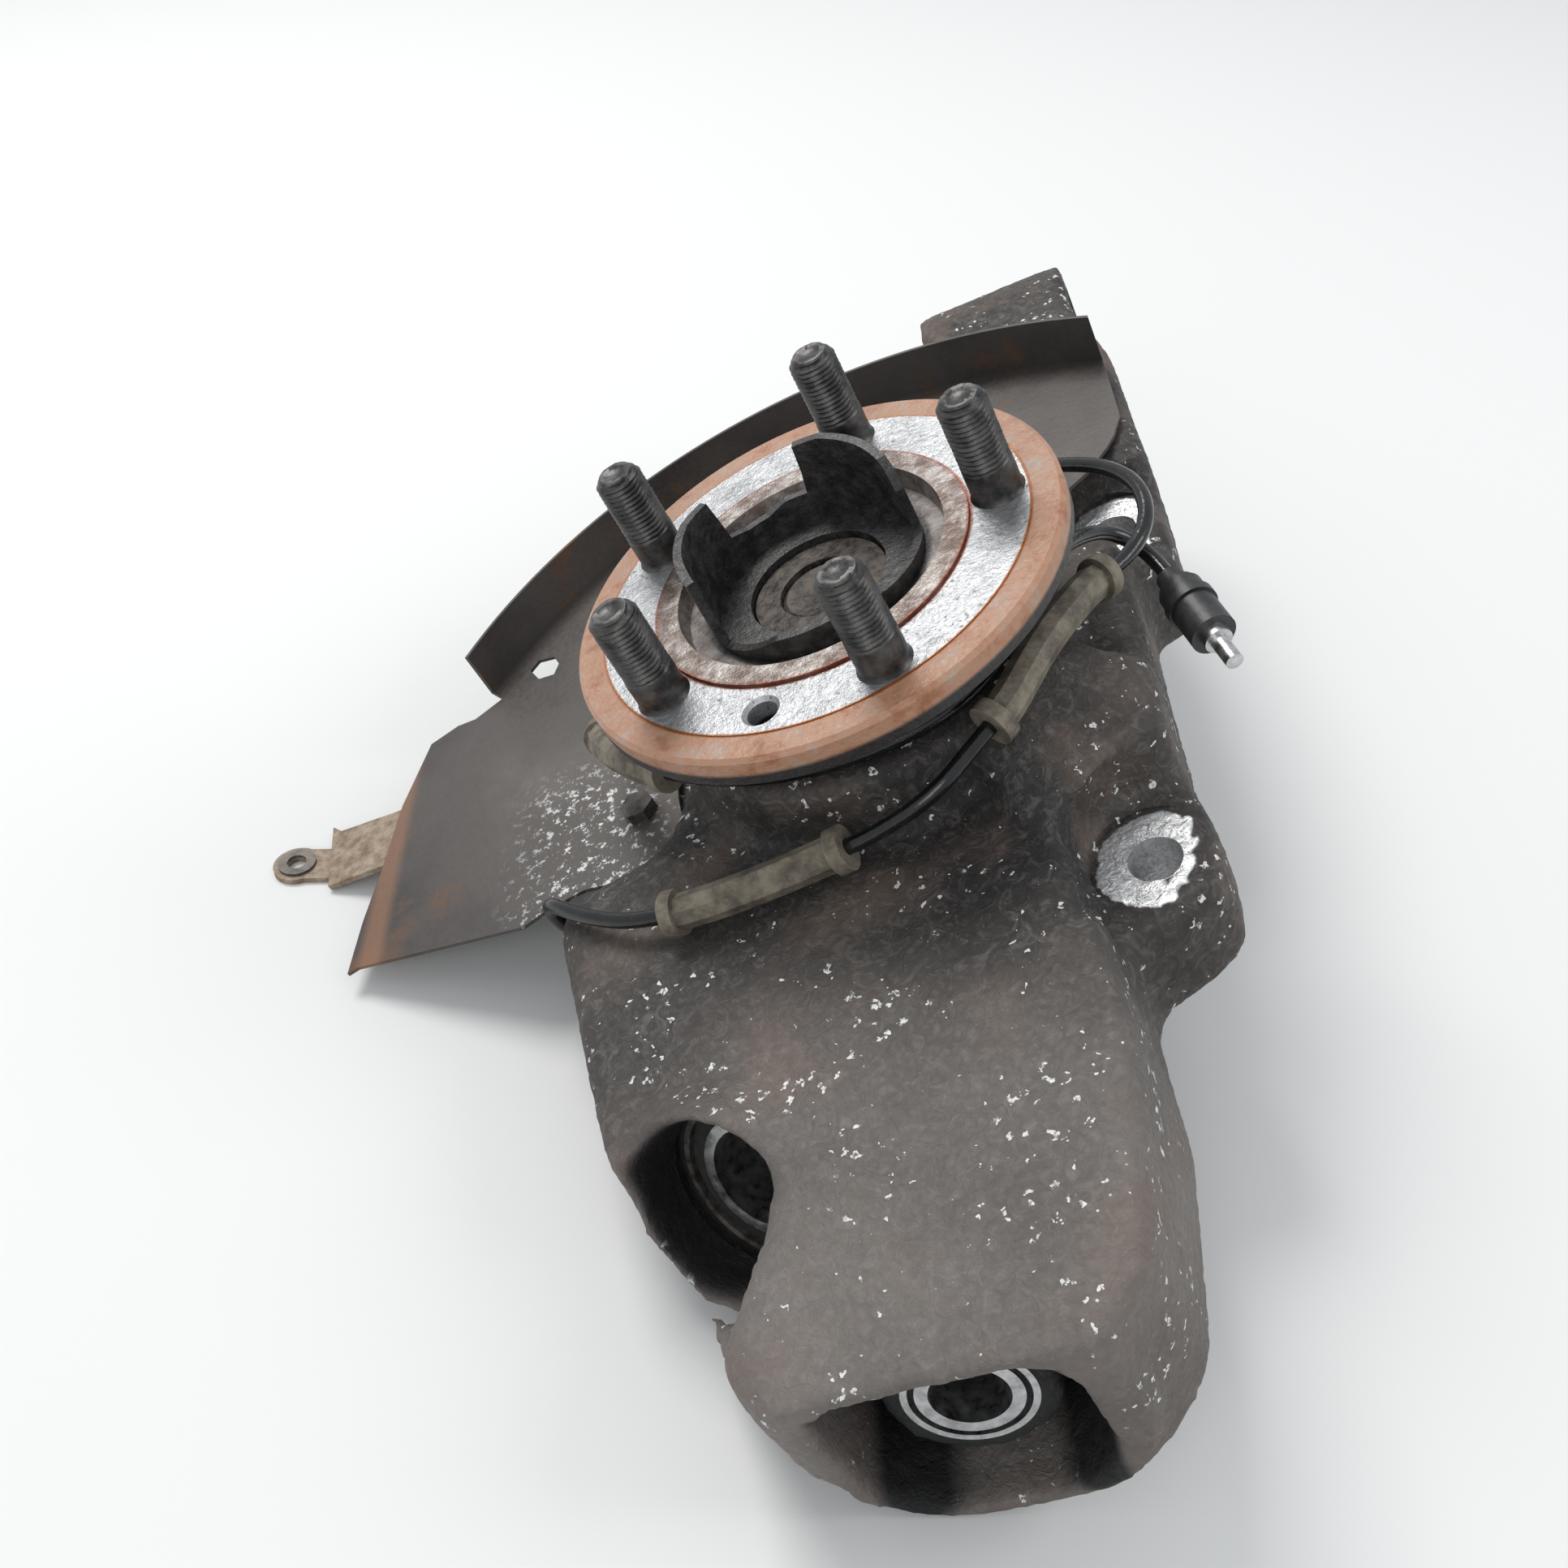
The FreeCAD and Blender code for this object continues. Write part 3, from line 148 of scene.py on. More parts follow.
class Graph:
    """A material under construction, with the few nodes used here."""

    def __init__(self, name):
        self.material = bpy.data.materials.new(name)
        self.material.use_nodes = True
        self.tree = self.material.node_tree
        self.shader = self.tree.nodes["Principled BSDF"]
        self.coords = self.tree.nodes.new("ShaderNodeTexCoord").outputs["Object"]

    def link(self, source, target):
        self.tree.links.new(source, target)

    def feed(self, socket, value):
        """Set a socket to a number or a colour, or link it to another socket."""
        if isinstance(value, (int, float)):
            socket.default_value = value
        elif isinstance(value, tuple):
            socket.default_value = (*value, 1)
        else:
            self.link(value, socket)

    def node(self, kind, **settings):
        made = self.tree.nodes.new(kind)
        for name, value in settings.items():
            setattr(made, name, value)
        return made

    def hub_coords(self):
        """Coordinates in millimetres in the hub's own frame."""
        scaled = self.node("ShaderNodeVectorMath", operation="SCALE")
        scaled.inputs["Scale"].default_value = 1 / MM
        self.link(self.coords, scaled.inputs[0])
        mapping = self.node("ShaderNodeMapping", vector_type="POINT")
        mapping.inputs["Rotation"].default_value = UNTIP.to_euler()
        self.link(scaled.outputs[0], mapping.inputs["Vector"])
        return mapping.outputs[0]

    def noise(self, scale, detail=6.0, rough=0.6, distortion=0.0):
        made = self.node("ShaderNodeTexNoise")
        made.inputs["Scale"].default_value = scale
        made.inputs["Detail"].default_value = detail
        made.inputs["Roughness"].default_value = rough
        made.inputs["Distortion"].default_value = distortion
        self.link(self.coords, made.inputs["Vector"])
        return made.outputs["Fac"]

    def cells(self, scale, vector):
        """Distance from the nearest of many scattered points."""
        made = self.node("ShaderNodeTexVoronoi", feature="F1")
        made.inputs["Scale"].default_value = scale
        self.link(vector, made.inputs["Vector"])
        return made.outputs["Distance"]

    def ramp(self, source, *stops):
        """Colours or grey levels along a value, eased from stop to stop."""
        made = self.node("ShaderNodeValToRGB")
        made.color_ramp.interpolation = "EASE"
        points = made.color_ramp.elements
        while len(points) < len(stops):
            points.new(0.5)
        for point, (where, colour) in zip(points, stops):
            point.position = where
            value = colour if isinstance(colour, tuple) else (colour, colour, colour)
            point.color = (*value, 1)
        self.link(source, made.inputs["Fac"])
        return made.outputs["Color"]

    def mix(self, factor, first, second):
        made = self.node("ShaderNodeMix", data_type="RGBA", blend_type="MIX")
        self.feed(made.inputs[MIX_FACTOR], factor)
        self.feed(made.inputs[MIX_FIRST], first)
        self.feed(made.inputs[MIX_SECOND], second)
        return made.outputs[MIX_RESULT]

    def maths(self, operation, first, second=0.0):
        made = self.node("ShaderNodeMath", operation=operation)
        self.feed(made.inputs[0], first)
        self.feed(made.inputs[1], second)
        return made.outputs[0]

    def between(self, value, low, high, soft):
        """1 where value lies between low and high, with soft edges."""
        rise = self.node("ShaderNodeMapRange", interpolation_type="SMOOTHSTEP")
        fall = self.node("ShaderNodeMapRange", interpolation_type="SMOOTHSTEP")
        for made, start, end in ((rise, low - soft, low + soft), (fall, high + soft, high - soft)):
            made.inputs["From Min"].default_value = start
            made.inputs["From Max"].default_value = end
            self.link(value, made.inputs["Value"])
        return self.maths("MULTIPLY", rise.outputs[0], fall.outputs[0])

    def bump(self, height, distance, strength, normal=None):
        """Fine relief from a height, its distance in metres."""
        made = self.node("ShaderNodeBump")
        made.inputs["Distance"].default_value = distance
        made.inputs["Strength"].default_value = strength
        self.link(height, made.inputs["Height"])
        if normal:
            self.link(normal, made.inputs["Normal"])
        return made.outputs["Normal"]

    def finish(self, colour, roughness, metallic, normal):
        self.feed(self.shader.inputs["Base Color"], colour)
        self.feed(self.shader.inputs["Roughness"], roughness)
        self.feed(self.shader.inputs["Metallic"], metallic)
        self.feed(self.shader.inputs["Normal"], normal)
        return self.material


def split(graph, vector):
    made = graph.node("ShaderNodeSeparateXYZ")
    graph.link(vector, made.inputs[0])
    return made.outputs


def radius_of(graph, vector):
    """Distance from the wheel axis, in millimetres."""
    x, y, _ = split(graph, vector)
    square = graph.maths("ADD", graph.maths("MULTIPLY", x, x), graph.maths("MULTIPLY", y, y))
    return graph.maths("SQRT", square)


def line_distance(graph, vector, origin, axis):
    """Distance of each point from a line, in millimetres."""
    away = graph.node("ShaderNodeVectorMath", operation="SUBTRACT")
    away.inputs[1].default_value = origin
    graph.link(vector, away.inputs[0])
    cross = graph.node("ShaderNodeVectorMath", operation="CROSS_PRODUCT")
    cross.inputs[1].default_value = axis
    graph.link(away.outputs[0], cross.inputs[0])
    length = graph.node("ShaderNodeVectorMath", operation="LENGTH")
    graph.link(cross.outputs[0], length.inputs[0])
    return length.outputs["Value"]


# Where the casting's machined places lie

SIDE_AXIS = Vector((-0.40, -0.79, 0.46)).normalized()
SIDE_FRONT = Vector((-50.0, -134.0, -75.0))
LOWER_TILT = math.radians(11.5)
LOWER_AXIS = Vector((0, -math.cos(LOWER_TILT), math.sin(LOWER_TILT)))
LOWER_FRONT = Vector((-3.7, -197.0, -82.3))
EAR_A = Vector((63.3, -74.5, 0.0))
EAR_B = Vector((75.0, 61.0, 0.0))
UPPER_EYE = Vector((54.0, 205.0, -89.0))
REAR_LUG = Vector((45.0, 75.0, -149.8))
HOUSING = Vector((0.0, 0.0, 0.0))


# Materials. Each range is where a colour lies: x, y or z, or a distance from an axis (R), whose
# low end may lie below zero so that it covers the axis. Noise scales are per metre.

DUST_BEGINS_Y, DUST_FULL_Y = -75.0, -165.0
# Where the painted shade inside the lower mouth lies (x, y, z), and inside the side pocket (distance from
# its axis, y)
MOUTH_SHADE_X = (-32.0, 23.0)
MOUTH_SHADE_Y = (-400.0, -153.0)
MOUTH_SHADE_Z = (-113.5, -55.5)
POCKET_SHADE_R = (-1.0, 25.4)
POCKET_SHADE_Y = (-160.0, -90.0)
EAR_FACE_R = (-9.0, 15.2)
EAR_FACE_Z = (-70.35, -69.7)
EAR_BORE_R = (-1.0, 7.45)
SPECK_WARP = (0.006, 0.006, 0.006)


def cast_material():
    graph = Graph("cast_metal")
    hub = graph.hub_coords()
    x, y, z = split(graph, hub)
    wide = graph.noise(14.0, 4.0, 0.55)
    fine = graph.noise(420.0, 6.0, 0.62, distortion=0.6)
    wrinkle = graph.noise(190.0, 3.0, 0.7, distortion=1.6)

    # Dark skin, dusty towards the lower end, with warm patches and pale crests
    dark = graph.ramp(wide, (0.3, (0.018, 0.016, 0.015)), (0.7, (0.05, 0.043, 0.038)))
    dusty = graph.ramp(wide, (0.25, (0.085, 0.074, 0.066)), (0.75, (0.16, 0.142, 0.128)))
    lower = graph.node("ShaderNodeMapRange", interpolation_type="SMOOTHSTEP")
    lower.inputs["From Min"].default_value = DUST_BEGINS_Y
    lower.inputs["From Max"].default_value = DUST_FULL_Y
    graph.link(y, lower.inputs["Value"])
    colour = graph.mix(lower.outputs[0], dark, dusty)
    warm = graph.ramp(graph.noise(30.0, 3.0, 0.5), (0.5, 0.0), (0.72, 0.5))
    colour = graph.mix(warm, colour, (0.15, 0.105, 0.085))
    crest = graph.ramp(wrinkle, (0.45, 0.0), (0.75, 0.35))
    colour = graph.mix(crest, colour, (0.2, 0.18, 0.165))

    # Pale torn specks, where cells with warped edges are small
    speck_size = graph.ramp(graph.noise(45.0, 2.0, 0.5), (0.38, 0.04), (0.64, 0.25))
    warp = graph.node("ShaderNodeTexNoise")
    warp.inputs["Scale"].default_value = 420.0
    graph.link(graph.coords, warp.inputs["Vector"])
    pull = graph.node("ShaderNodeVectorMath", operation="MULTIPLY_ADD")
    graph.link(warp.outputs["Color"], pull.inputs[0])
    pull.inputs[1].default_value = SPECK_WARP
    graph.link(graph.coords, pull.inputs[2])
    speck = graph.maths("LESS_THAN", graph.cells(230.0, pull.outputs[0]), speck_size)
    torn = graph.ramp(graph.noise(800.0, 2.0), (0.35, 0.0), (0.55, 1.0))
    colour = graph.mix(graph.maths("MULTIPLY", speck, torn), colour, (0.62, 0.62, 0.6))

    # Painted shade: near-black inside the lower mouth and the side pocket, standing in for the shade in
    # these recesses
    across = graph.maths("MULTIPLY", graph.between(x, *MOUTH_SHADE_X, 1.5), graph.between(z, *MOUTH_SHADE_Z, 1.5))
    mouth_shade = graph.maths("MULTIPLY", graph.between(y, *MOUTH_SHADE_Y, 3.0), across)
    colour = graph.mix(mouth_shade, colour, (0.006, 0.006, 0.006))
    pocket = line_distance(graph, hub, SIDE_FRONT, SIDE_AXIS)
    pocket_shade = graph.maths("MULTIPLY", graph.between(pocket, *POCKET_SHADE_R, 1.2), graph.between(y, *POCKET_SHADE_Y, 9.0))
    colour = graph.mix(pocket_shade, colour, (0.009, 0.008, 0.008))

    # Bright machined faces and bores of the two ears
    machined = graph.ramp(graph.noise(900.0, 3.0, 0.6), (0.3, 0.5), (0.7, 0.78))
    ragged_edge = graph.maths("SUBTRACT", graph.noise(140.0, 5.0, 0.7), 0.5)
    ragged_edge = graph.maths("MULTIPLY", ragged_edge, 5.0)
    faces = 0.0
    walls = 0.0
    for ear in (EAR_A, EAR_B):
        reach = line_distance(graph, hub, ear, Z_AXIS)
        ragged = graph.maths("ADD", reach, ragged_edge)
        on_face = graph.maths("MULTIPLY", graph.between(z, *EAR_FACE_Z, 0.1),
                              graph.between(ragged, *EAR_FACE_R, 0.5))
        faces = graph.maths("MAXIMUM", faces, on_face)
        walls = graph.maths("MAXIMUM", walls, graph.between(reach, *EAR_BORE_R, 0.1))
    shine = graph.maths("MAXIMUM", faces, walls)
    colour = graph.mix(shine, colour, machined)

    normal = graph.bump(graph.mix(0.45, wrinkle, fine), 0.0011, 0.9)
    rough = graph.mix(shine, graph.ramp(fine, (0.3, 0.55), (0.8, 0.85)), (0.3, 0.3, 0.3))
    metal = graph.maths("ADD", graph.maths("MULTIPLY", shine, 0.55), 0.2)
    return graph.finish(colour, rough, metal, normal)


SILVER_R = (46.3, 62.5)
RIM_RUST_R = (62.5, 90.0)
GROOVE_R = (62.0, 62.9)
STEP_RUST_R = (45.3, 46.6)
SPIGOT_R = (0.0, 33.4)
# Where the painted shade on the back and side of the flange lies: heights and distances from the axis
FLANGE_SHADE_Z = (-200.0, -5.6)
FLANGE_SHADE_R = (33.0, 200.0)
BARE_METAL_R = (39.0, 62.5)


def flange_material():
    graph = Graph("machined_face")
    hub = graph.hub_coords()
    z = split(graph, hub)[2]
    radius = radius_of(graph, hub)
    grain = graph.noise(700.0, 4.0, 0.7)
    blotch = graph.noise(60.0, 6.0, 0.65, distortion=0.5)
    silver = graph.ramp(blotch, (0.3, (0.3, 0.305, 0.31)), (0.7, (0.46, 0.465, 0.47)))
    speck = graph.ramp(grain, (0.58, 0.0), (0.68, 0.85))
    silver = graph.mix(speck, silver, (0.1, 0.095, 0.09))
    rust = graph.ramp(graph.noise(110.0, 6.0, 0.7), (0.3, (0.26, 0.1, 0.045)),
                      (0.5, (0.36, 0.19, 0.115)), (0.7, (0.33, 0.25, 0.2)))
    step = graph.ramp(graph.noise(150.0, 6.0, 0.7), (0.35, (0.12, 0.085, 0.07)),
                      (0.7, (0.34, 0.31, 0.29)))
    black = graph.ramp(graph.noise(220.0, 6.0, 0.7), (0.35, (0.008, 0.008, 0.008)),
                       (0.75, (0.05, 0.045, 0.042)))
    waver = graph.maths("MULTIPLY", graph.maths("SUBTRACT", blotch, 0.5), 3.0)
    edge = graph.maths("ADD", radius, waver)

    # Bands from the spigot outwards, each laid over the last, and painted shade, near black, on the back
    # and side of the flange
    colour = graph.mix(graph.between(edge, *SILVER_R, 0.4), step, silver)
    colour = graph.mix(graph.between(edge, *RIM_RUST_R, 0.4), colour, rust)
    colour = graph.mix(graph.between(radius, *GROOVE_R, 0.25), colour, (0.28, 0.1, 0.03))
    step_rust = graph.between(radius, *STEP_RUST_R, 0.4)
    colour = graph.mix(graph.maths("MULTIPLY", step_rust, 0.7), colour, (0.2, 0.05, 0.02))
    colour = graph.mix(graph.between(radius, *SPIGOT_R, 0.8), colour, black)
    # Painted shade: near black under the flange's face and outside the spigot
    under = graph.between(z, *FLANGE_SHADE_Z, 0.8)
    shade_outside = graph.between(radius, *FLANGE_SHADE_R, 1.0)
    colour = graph.mix(graph.maths("MULTIPLY", under, shade_outside), colour, (0.02, 0.017, 0.016))

    rough = graph.ramp(grain, (0.3, 0.32), (0.8, 0.62))
    metal = graph.maths("MULTIPLY", graph.between(edge, *BARE_METAL_R, 0.6), 0.75)
    normal = graph.bump(grain, 0.0003, 0.5)
    pitted = graph.bump(graph.noise(240.0, 5.0, 0.7), 0.0011, 0.55, normal)
    return graph.finish(colour, rough, metal, pitted)


def plain_metal(name, dark, light, rough, metallic, scale=200.0, bump=0.0003):
    """A grained metal, its roughness varying upwards from rough."""
    graph = Graph(name)
    grain = graph.noise(scale, 5.0, 0.65)
    colour = graph.ramp(grain, (0.3, dark), (0.72, light))
    roughness = graph.ramp(grain, (0.25, rough), (0.8, min(1.0, rough + 0.25)))
    return graph.finish(colour, roughness, metallic, graph.bump(grain, bump, 0.6))


FLECK_X = (-118.0, -72.0)
FLECK_Y = (-60.0, 16.0)
LEFT_EDGE_X = (-176.0, -168.0)


def shield_material():
    graph = Graph("shield_coating")
    hub = graph.hub_coords()
    x, y, _ = split(graph, hub)
    wide = graph.noise(9.0, 5.0, 0.6)
    grain = graph.noise(500.0, 4.0, 0.65)
    base = graph.ramp(wide, (0.3, (0.035, 0.03, 0.028)), (0.55, (0.075, 0.066, 0.06)),
                      (0.8, (0.13, 0.115, 0.1)))
    rust = graph.ramp(graph.noise(26.0, 7.0, 0.7), (0.55, 0.0), (0.68, 0.8))
    colour = graph.mix(rust, base, (0.115, 0.062, 0.035))

    # Pale flecks beside the hub, and rust along the left edge
    zone = graph.maths("MULTIPLY", graph.between(x, *FLECK_X, 14.0), graph.between(y, *FLECK_Y, 12.0))
    fleck = graph.ramp(graph.noise(330.0, 5.0, 0.75), (0.55, 0.0), (0.6, 1.0))
    colour = graph.mix(graph.maths("MULTIPLY", zone, fleck), colour, (0.55, 0.55, 0.54))
    edge_rust = graph.maths("MULTIPLY", graph.between(x, *LEFT_EDGE_X, 2.5), 0.6)
    colour = graph.mix(edge_rust, colour, (0.26, 0.13, 0.07))
    return graph.finish(colour, graph.ramp(grain, (0.3, 0.38), (0.8, 0.62)), 0.3,
                        graph.bump(grain, 0.0002, 0.4))


def rubber_material(name, dark, light, rough=0.75):
    """A dusty rubber or plastic."""
    graph = Graph(name)
    dust = graph.noise(130.0, 6.0, 0.7)
    colour = graph.ramp(dust, (0.32, dark), (0.7, light))
    return graph.finish(colour, rough, 0.0, graph.bump(graph.noise(600.0, 3.0), 0.0002, 0.5))


# Pieces

def paint(mesh, material):
    """Give a mesh one material on all its faces."""
    mesh.materials.clear()
    mesh.materials.append(material)
    for polygon in mesh.polygons:
        polygon.material_index = 0


def new_piece(name, mesh, material, body, replaced):
    """Add a mesh piece that rides on a body."""
    piece = new_object(name, mesh)
    paint(mesh, material)
    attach(piece, body)
    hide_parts(*replaced)


def smooth_shade(mesh, angle):
    """Shade smoothly, with edges sharper than an angle in degrees kept."""
    for polygon in mesh.polygons:
        polygon.use_smooth = True
    mesh.set_sharp_from_angle(angle=math.radians(angle))


def band(low, high, sides):
    """Quads between two rings of points that begin at these indices."""
    return [(low + side, low + (side + 1) % sides, high + (side + 1) % sides, high + side)
            for side in range(sides)]


# Wheel studs with their threads

STUD_CIRCLE = 54.0
STUD_PHASE = 2.21
STUD_COUNT = 5
STUD_SIDES = 40
STUD_R = 7.0
STUD_TOP = 30.9
STUD_PLAIN = 9.0
# Radius and height of the head, the knurl and the plain part, from below
STUD_ROOT = ((0.0, -15.0), (8.5, -15.0), (9.5, -14.0), (9.5, -10.0), (7.25, -10.0), (7.25, -0.1),
             (7.6, 0.05), (7.0, 0.9), (STUD_R, 2.0), (STUD_R, 5.0), (STUD_R, STUD_PLAIN - 0.3))
STUD_TIP = ((4.9, STUD_TOP - 0.1), (3.4, STUD_TOP), (2.9, STUD_TOP - 0.5), (0.0, STUD_TOP - 0.6))
STUD_WEAR = 0.12
STUD_WEAR_FROM = 0.5
TIP_WEAR = 0.15
MERGE_METRES = 1e-6
THREAD_PITCH = 1.5
THREAD_DEPTH = 0.75
THREAD_ROWS = 5.0           # rows of points in a pitch
THREAD_CREST = 0.05         # how far the crests lie inside the stud's radius
THREAD_RUNS_IN = 2.0
THREAD_ENDS = 0.4           # below the stud's top
LEAD_ENDS = 0.3             # below the stud's top
LEAD_LONG = 2.2
LEAD_DEEP = 1.7


def thread_radius(turn, height):
    """Radius of a threaded stud at a turn (0 to 1) and a height, STUD_PLAIN or more."""
    phase = (height / THREAD_PITCH - turn) % 1.0
    tooth = abs(2.0 * phase - 1.0)
    fade = min(1.0, (height - STUD_PLAIN) / THREAD_RUNS_IN)
    lead = min(1.0, max(0.0, (STUD_TOP - LEAD_ENDS - height) / LEAD_LONG))
    return STUD_R - THREAD_CREST - THREAD_DEPTH * fade * tooth - LEAD_DEEP * (1.0 - lead)


def stud_mesh(seed):
    """Points and faces of one stud about its own axis."""
    wear = random.Random(seed).uniform(0, 10)
    rows = list(STUD_ROOT)
    height = STUD_PLAIN
    while height < STUD_TOP - THREAD_ENDS:
        rows.append((None, height))
        height += THREAD_PITCH / THREAD_ROWS
    turns = [(side / STUD_SIDES, 2.0 * math.pi * side / STUD_SIDES) for side in range(STUD_SIDES)]
    vertices = []
    faces = []
    for width, row in rows:
        for turn, angle in turns:
            radius = thread_radius(turn, row) if width is None else width
            if row > STUD_WEAR_FROM:
                spot = Vector((math.cos(angle) * 2, math.sin(angle) * 2, row * 0.6 + wear))
                radius += STUD_WEAR * noise.noise(spot)
            vertices.append((radius * math.cos(angle), radius * math.sin(angle), row))
    for level in range(len(rows) - 1):
        faces += band(level * STUD_SIDES, (level + 1) * STUD_SIDES, STUD_SIDES)
    last = (len(rows) - 1) * STUD_SIDES
    for radius, height in STUD_TIP:
        start = len(vertices)
        for _, angle in turns:
            x = radius * math.cos(angle)
            y = radius * math.sin(angle)
            vertices.append((x, y, height + TIP_WEAR * noise.noise(Vector((x, y, wear)))))
        faces += band(last, start, STUD_SIDES)
        last = start
    return vertices, faces


def add_studs(material):
    vertices = []
    faces = []
    for index in range(STUD_COUNT):
        angle = math.radians(STUD_PHASE + index * 360.0 / STUD_COUNT)
        centre = Vector((STUD_CIRCLE * math.cos(angle), STUD_CIRCLE * math.sin(angle), 0))
        points, quads = stud_mesh(index)
        base = len(vertices)
        vertices += [tuple(place(*(Vector(point) + centre))) for point in points]
        faces += [tuple(base + corner for corner in quad) for quad in quads]
    mesh = bpy.data.meshes.new("stud_threads")
    mesh.from_pydata(vertices, [], faces)
    bm = bmesh.new()
    bm.from_mesh(mesh)
    bmesh.ops.remove_doubles(bm, verts=bm.verts, dist=MERGE_METRES)
    bmesh.ops.recalc_face_normals(bm, faces=bm.faces)
    bm.to_mesh(mesh)
    bm.free()
    smooth_shade(mesh, angle=50.0)
    new_piece("stud_threads", mesh, material, "hub", ["wheel_studs"])


# The sensor cable, on one smooth line with the route's points

CABLE_R = 2.25
CABLE_STEPS = 12            # points of the line between two of the route's
CABLE_ROUNDNESS = 5
CABLE_ROUTE = [
    (-99, -9, -78.2), (-99, -20.5, -78.2), (-104, -31.5, -73.5), (-107, -38.3, -66), (-106.3, -41, -58.5),
    (-105, -43.2, -50.5), (-100.5, -47.5, -46.2), (-90, -56.5, -45), (-74, -66, -44), (-53, -70, -42),
    (-34, -70.5, -40.5), (-15, -69.5, -39), (1, -70, -36), (18.7, -69.9, -29.6), (30.5, -61.5, -26.5),
    (41, -52, -25.4), (54, -31, -25.4), (67.3, -9, -31.5), (78, 2, -36.5), (87, 15, -36.5),
    (88, 31, -35.5), (81, 47, -36.5), (67, 62, -40), (50, 77, -47), (30, 86, -53), (2, 92, -54.4),
    (-30, 88, -54.4), (-58, 72, -53), (-78, 48, -48), (-86, 18, -40), (-79, -6, -31), (-62, -28, -25.5),
    (-42, -44, -22), (-27, -49, -24), (-10, -51.5, -25.4), (11, -51, -25.4), (27, -46, -25.4),
    (38, -37, -25.4), (46, -26, -25.4), (52, -13, -25.2), (62, 3, -26), (68, 17, -34.5),
    (75.5, 28, -44), (84.3, 24.5, -53.7), (87.5, 12, -55),
]


def baked(thing):
    """The object's mesh as it is seen, with its modifiers applied."""
    bpy.context.view_layer.update()
    seen = thing.evaluated_get(bpy.context.evaluated_depsgraph_get())
    return bpy.data.meshes.new_from_object(seen)


def add_cable(material):
    """The cable, and the points of its centre line from before it gets its thickness."""
    curve = bpy.data.curves.new("abs_lead", "CURVE")
    curve.dimensions = "3D"
    spline = curve.splines.new("NURBS")
    spline.points.add(len(CABLE_ROUTE) - 1)
    for point, spot in zip(spline.points, CABLE_ROUTE):
        point.co = (*place(*spot), 1)
    spline.order_u = 3
    spline.use_endpoint_u = True
    spline.resolution_u = CABLE_STEPS
    cable = new_object("abs_lead", curve)
    line = baked(cable)
    path = [vertex.co.copy() for vertex in line.vertices]
    bpy.data.meshes.remove(line)
    curve.bevel_depth = CABLE_R * MM
    curve.bevel_resolution = CABLE_ROUNDNESS
    curve.use_fill_caps = True
    curve.materials.append(material)
    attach(cable, "carrier")
    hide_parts("abs_cable")
    return cable, path


# The casting: a rounded, sand-rough copy of the solid, with its machined faces cut afterwards

PLUG_SIDES = 64
BORE_SIDES = 96
HOUSING_SIDES = 128


def lathe(profile, centre, axis, sides):
    """A closed solid from (height, radius) pairs about an axis, in metres of the shared frame."""
    axis = Vector(axis).normalized()
    turn = Vector(Z_AXIS).rotation_difference(axis)
    points = []
    faces = []
    for height, radius in profile:
        for side in range(sides):
            angle = 2.0 * math.pi * side / sides
            spot = Vector((radius * math.cos(angle), radius * math.sin(angle), height))
            points.append(place(*(Vector(centre) + turn @ spot)))
    last = (len(profile) - 1) * sides
    for start in range(0, last, sides):
        faces += band(start, start + sides, sides)
    faces.append(tuple(range(sides - 1, -1, -1)))
    faces.append(tuple(last + side for side in range(sides)))
    return points, faces


def rod(radius, low, high, centre, axis, sides=PLUG_SIDES):
    return lathe([(low, radius), (high, radius)], centre, axis, sides)


def solid_object(name, parts, start=None):
    """A loose object holding several closed solids, after an optional mesh."""
    bm = bmesh.new()
    if start is not None:
        bm.from_mesh(start)
    for points, faces in parts:
        corners = [bm.verts.new(point) for point in points]
        made = [bm.faces.new([corners[index] for index in face]) for face in faces]
        bmesh.ops.recalc_face_normals(bm, faces=made)
    mesh = bpy.data.meshes.new(name)
    bm.to_mesh(mesh)
    bm.free()
    return new_object(name, mesh)


def discard(thing):
    mesh = thing.data
    bpy.data.objects.remove(thing)
    bpy.data.meshes.remove(mesh)


def mesh_arrays(mesh):
    """Points and edges of a mesh, as arrays."""
    spots = np.empty(len(mesh.vertices) * 3)
    mesh.vertices.foreach_get("co", spots)
    edges = np.empty(len(mesh.edges) * 2, dtype=np.int64)
    mesh.edges.foreach_get("vertices", edges)
    return spots.reshape(-1, 3), edges.reshape(-1, 2)


def move_points(mesh, spots):
    mesh.vertices.foreach_set("co", spots.ravel())
    mesh.update()


def relax(spots, edges, weight, rounds):
    """Move each point half way towards the mean of its neighbours, by its weight."""
    count = len(spots)
    degree = np.bincount(edges.ravel(), minlength=count).astype(float)
    for _ in range(rounds):
        total = np.empty_like(spots)
        for axis in range(3):
            total[:, axis] = (np.bincount(edges[:, 0], spots[edges[:, 1], axis], count)
                              + np.bincount(edges[:, 1], spots[edges[:, 0], axis], count))
        mean = total / degree[:, None]
        spots = spots + (0.5 * weight)[:, None] * (mean - spots)
    return spots


def hub_frame(spots):
    """Points of the shared frame in metres, as hub-frame millimetres."""
    return spots @ np.array(UNTIP).T / MM


def soft_step(value, low, high):
    share = np.clip((value - low) / (high - low), 0.0, 1.0)
    return share * share * (3.0 - 2.0 * share)


def renew(thing):
    """Give the object the mesh that its modifiers make, and drop them."""
    old = thing.data
    fresh = baked(thing)
    thing.modifiers.clear()
    thing.data = fresh
    bpy.data.meshes.remove(old)


def remeshed(thing):
    remesh = thing.modifiers.new("remesh", "REMESH")
    remesh.mode = "VOXEL"
    remesh.voxel_size = CAST_VOXEL * MM
    renew(thing)


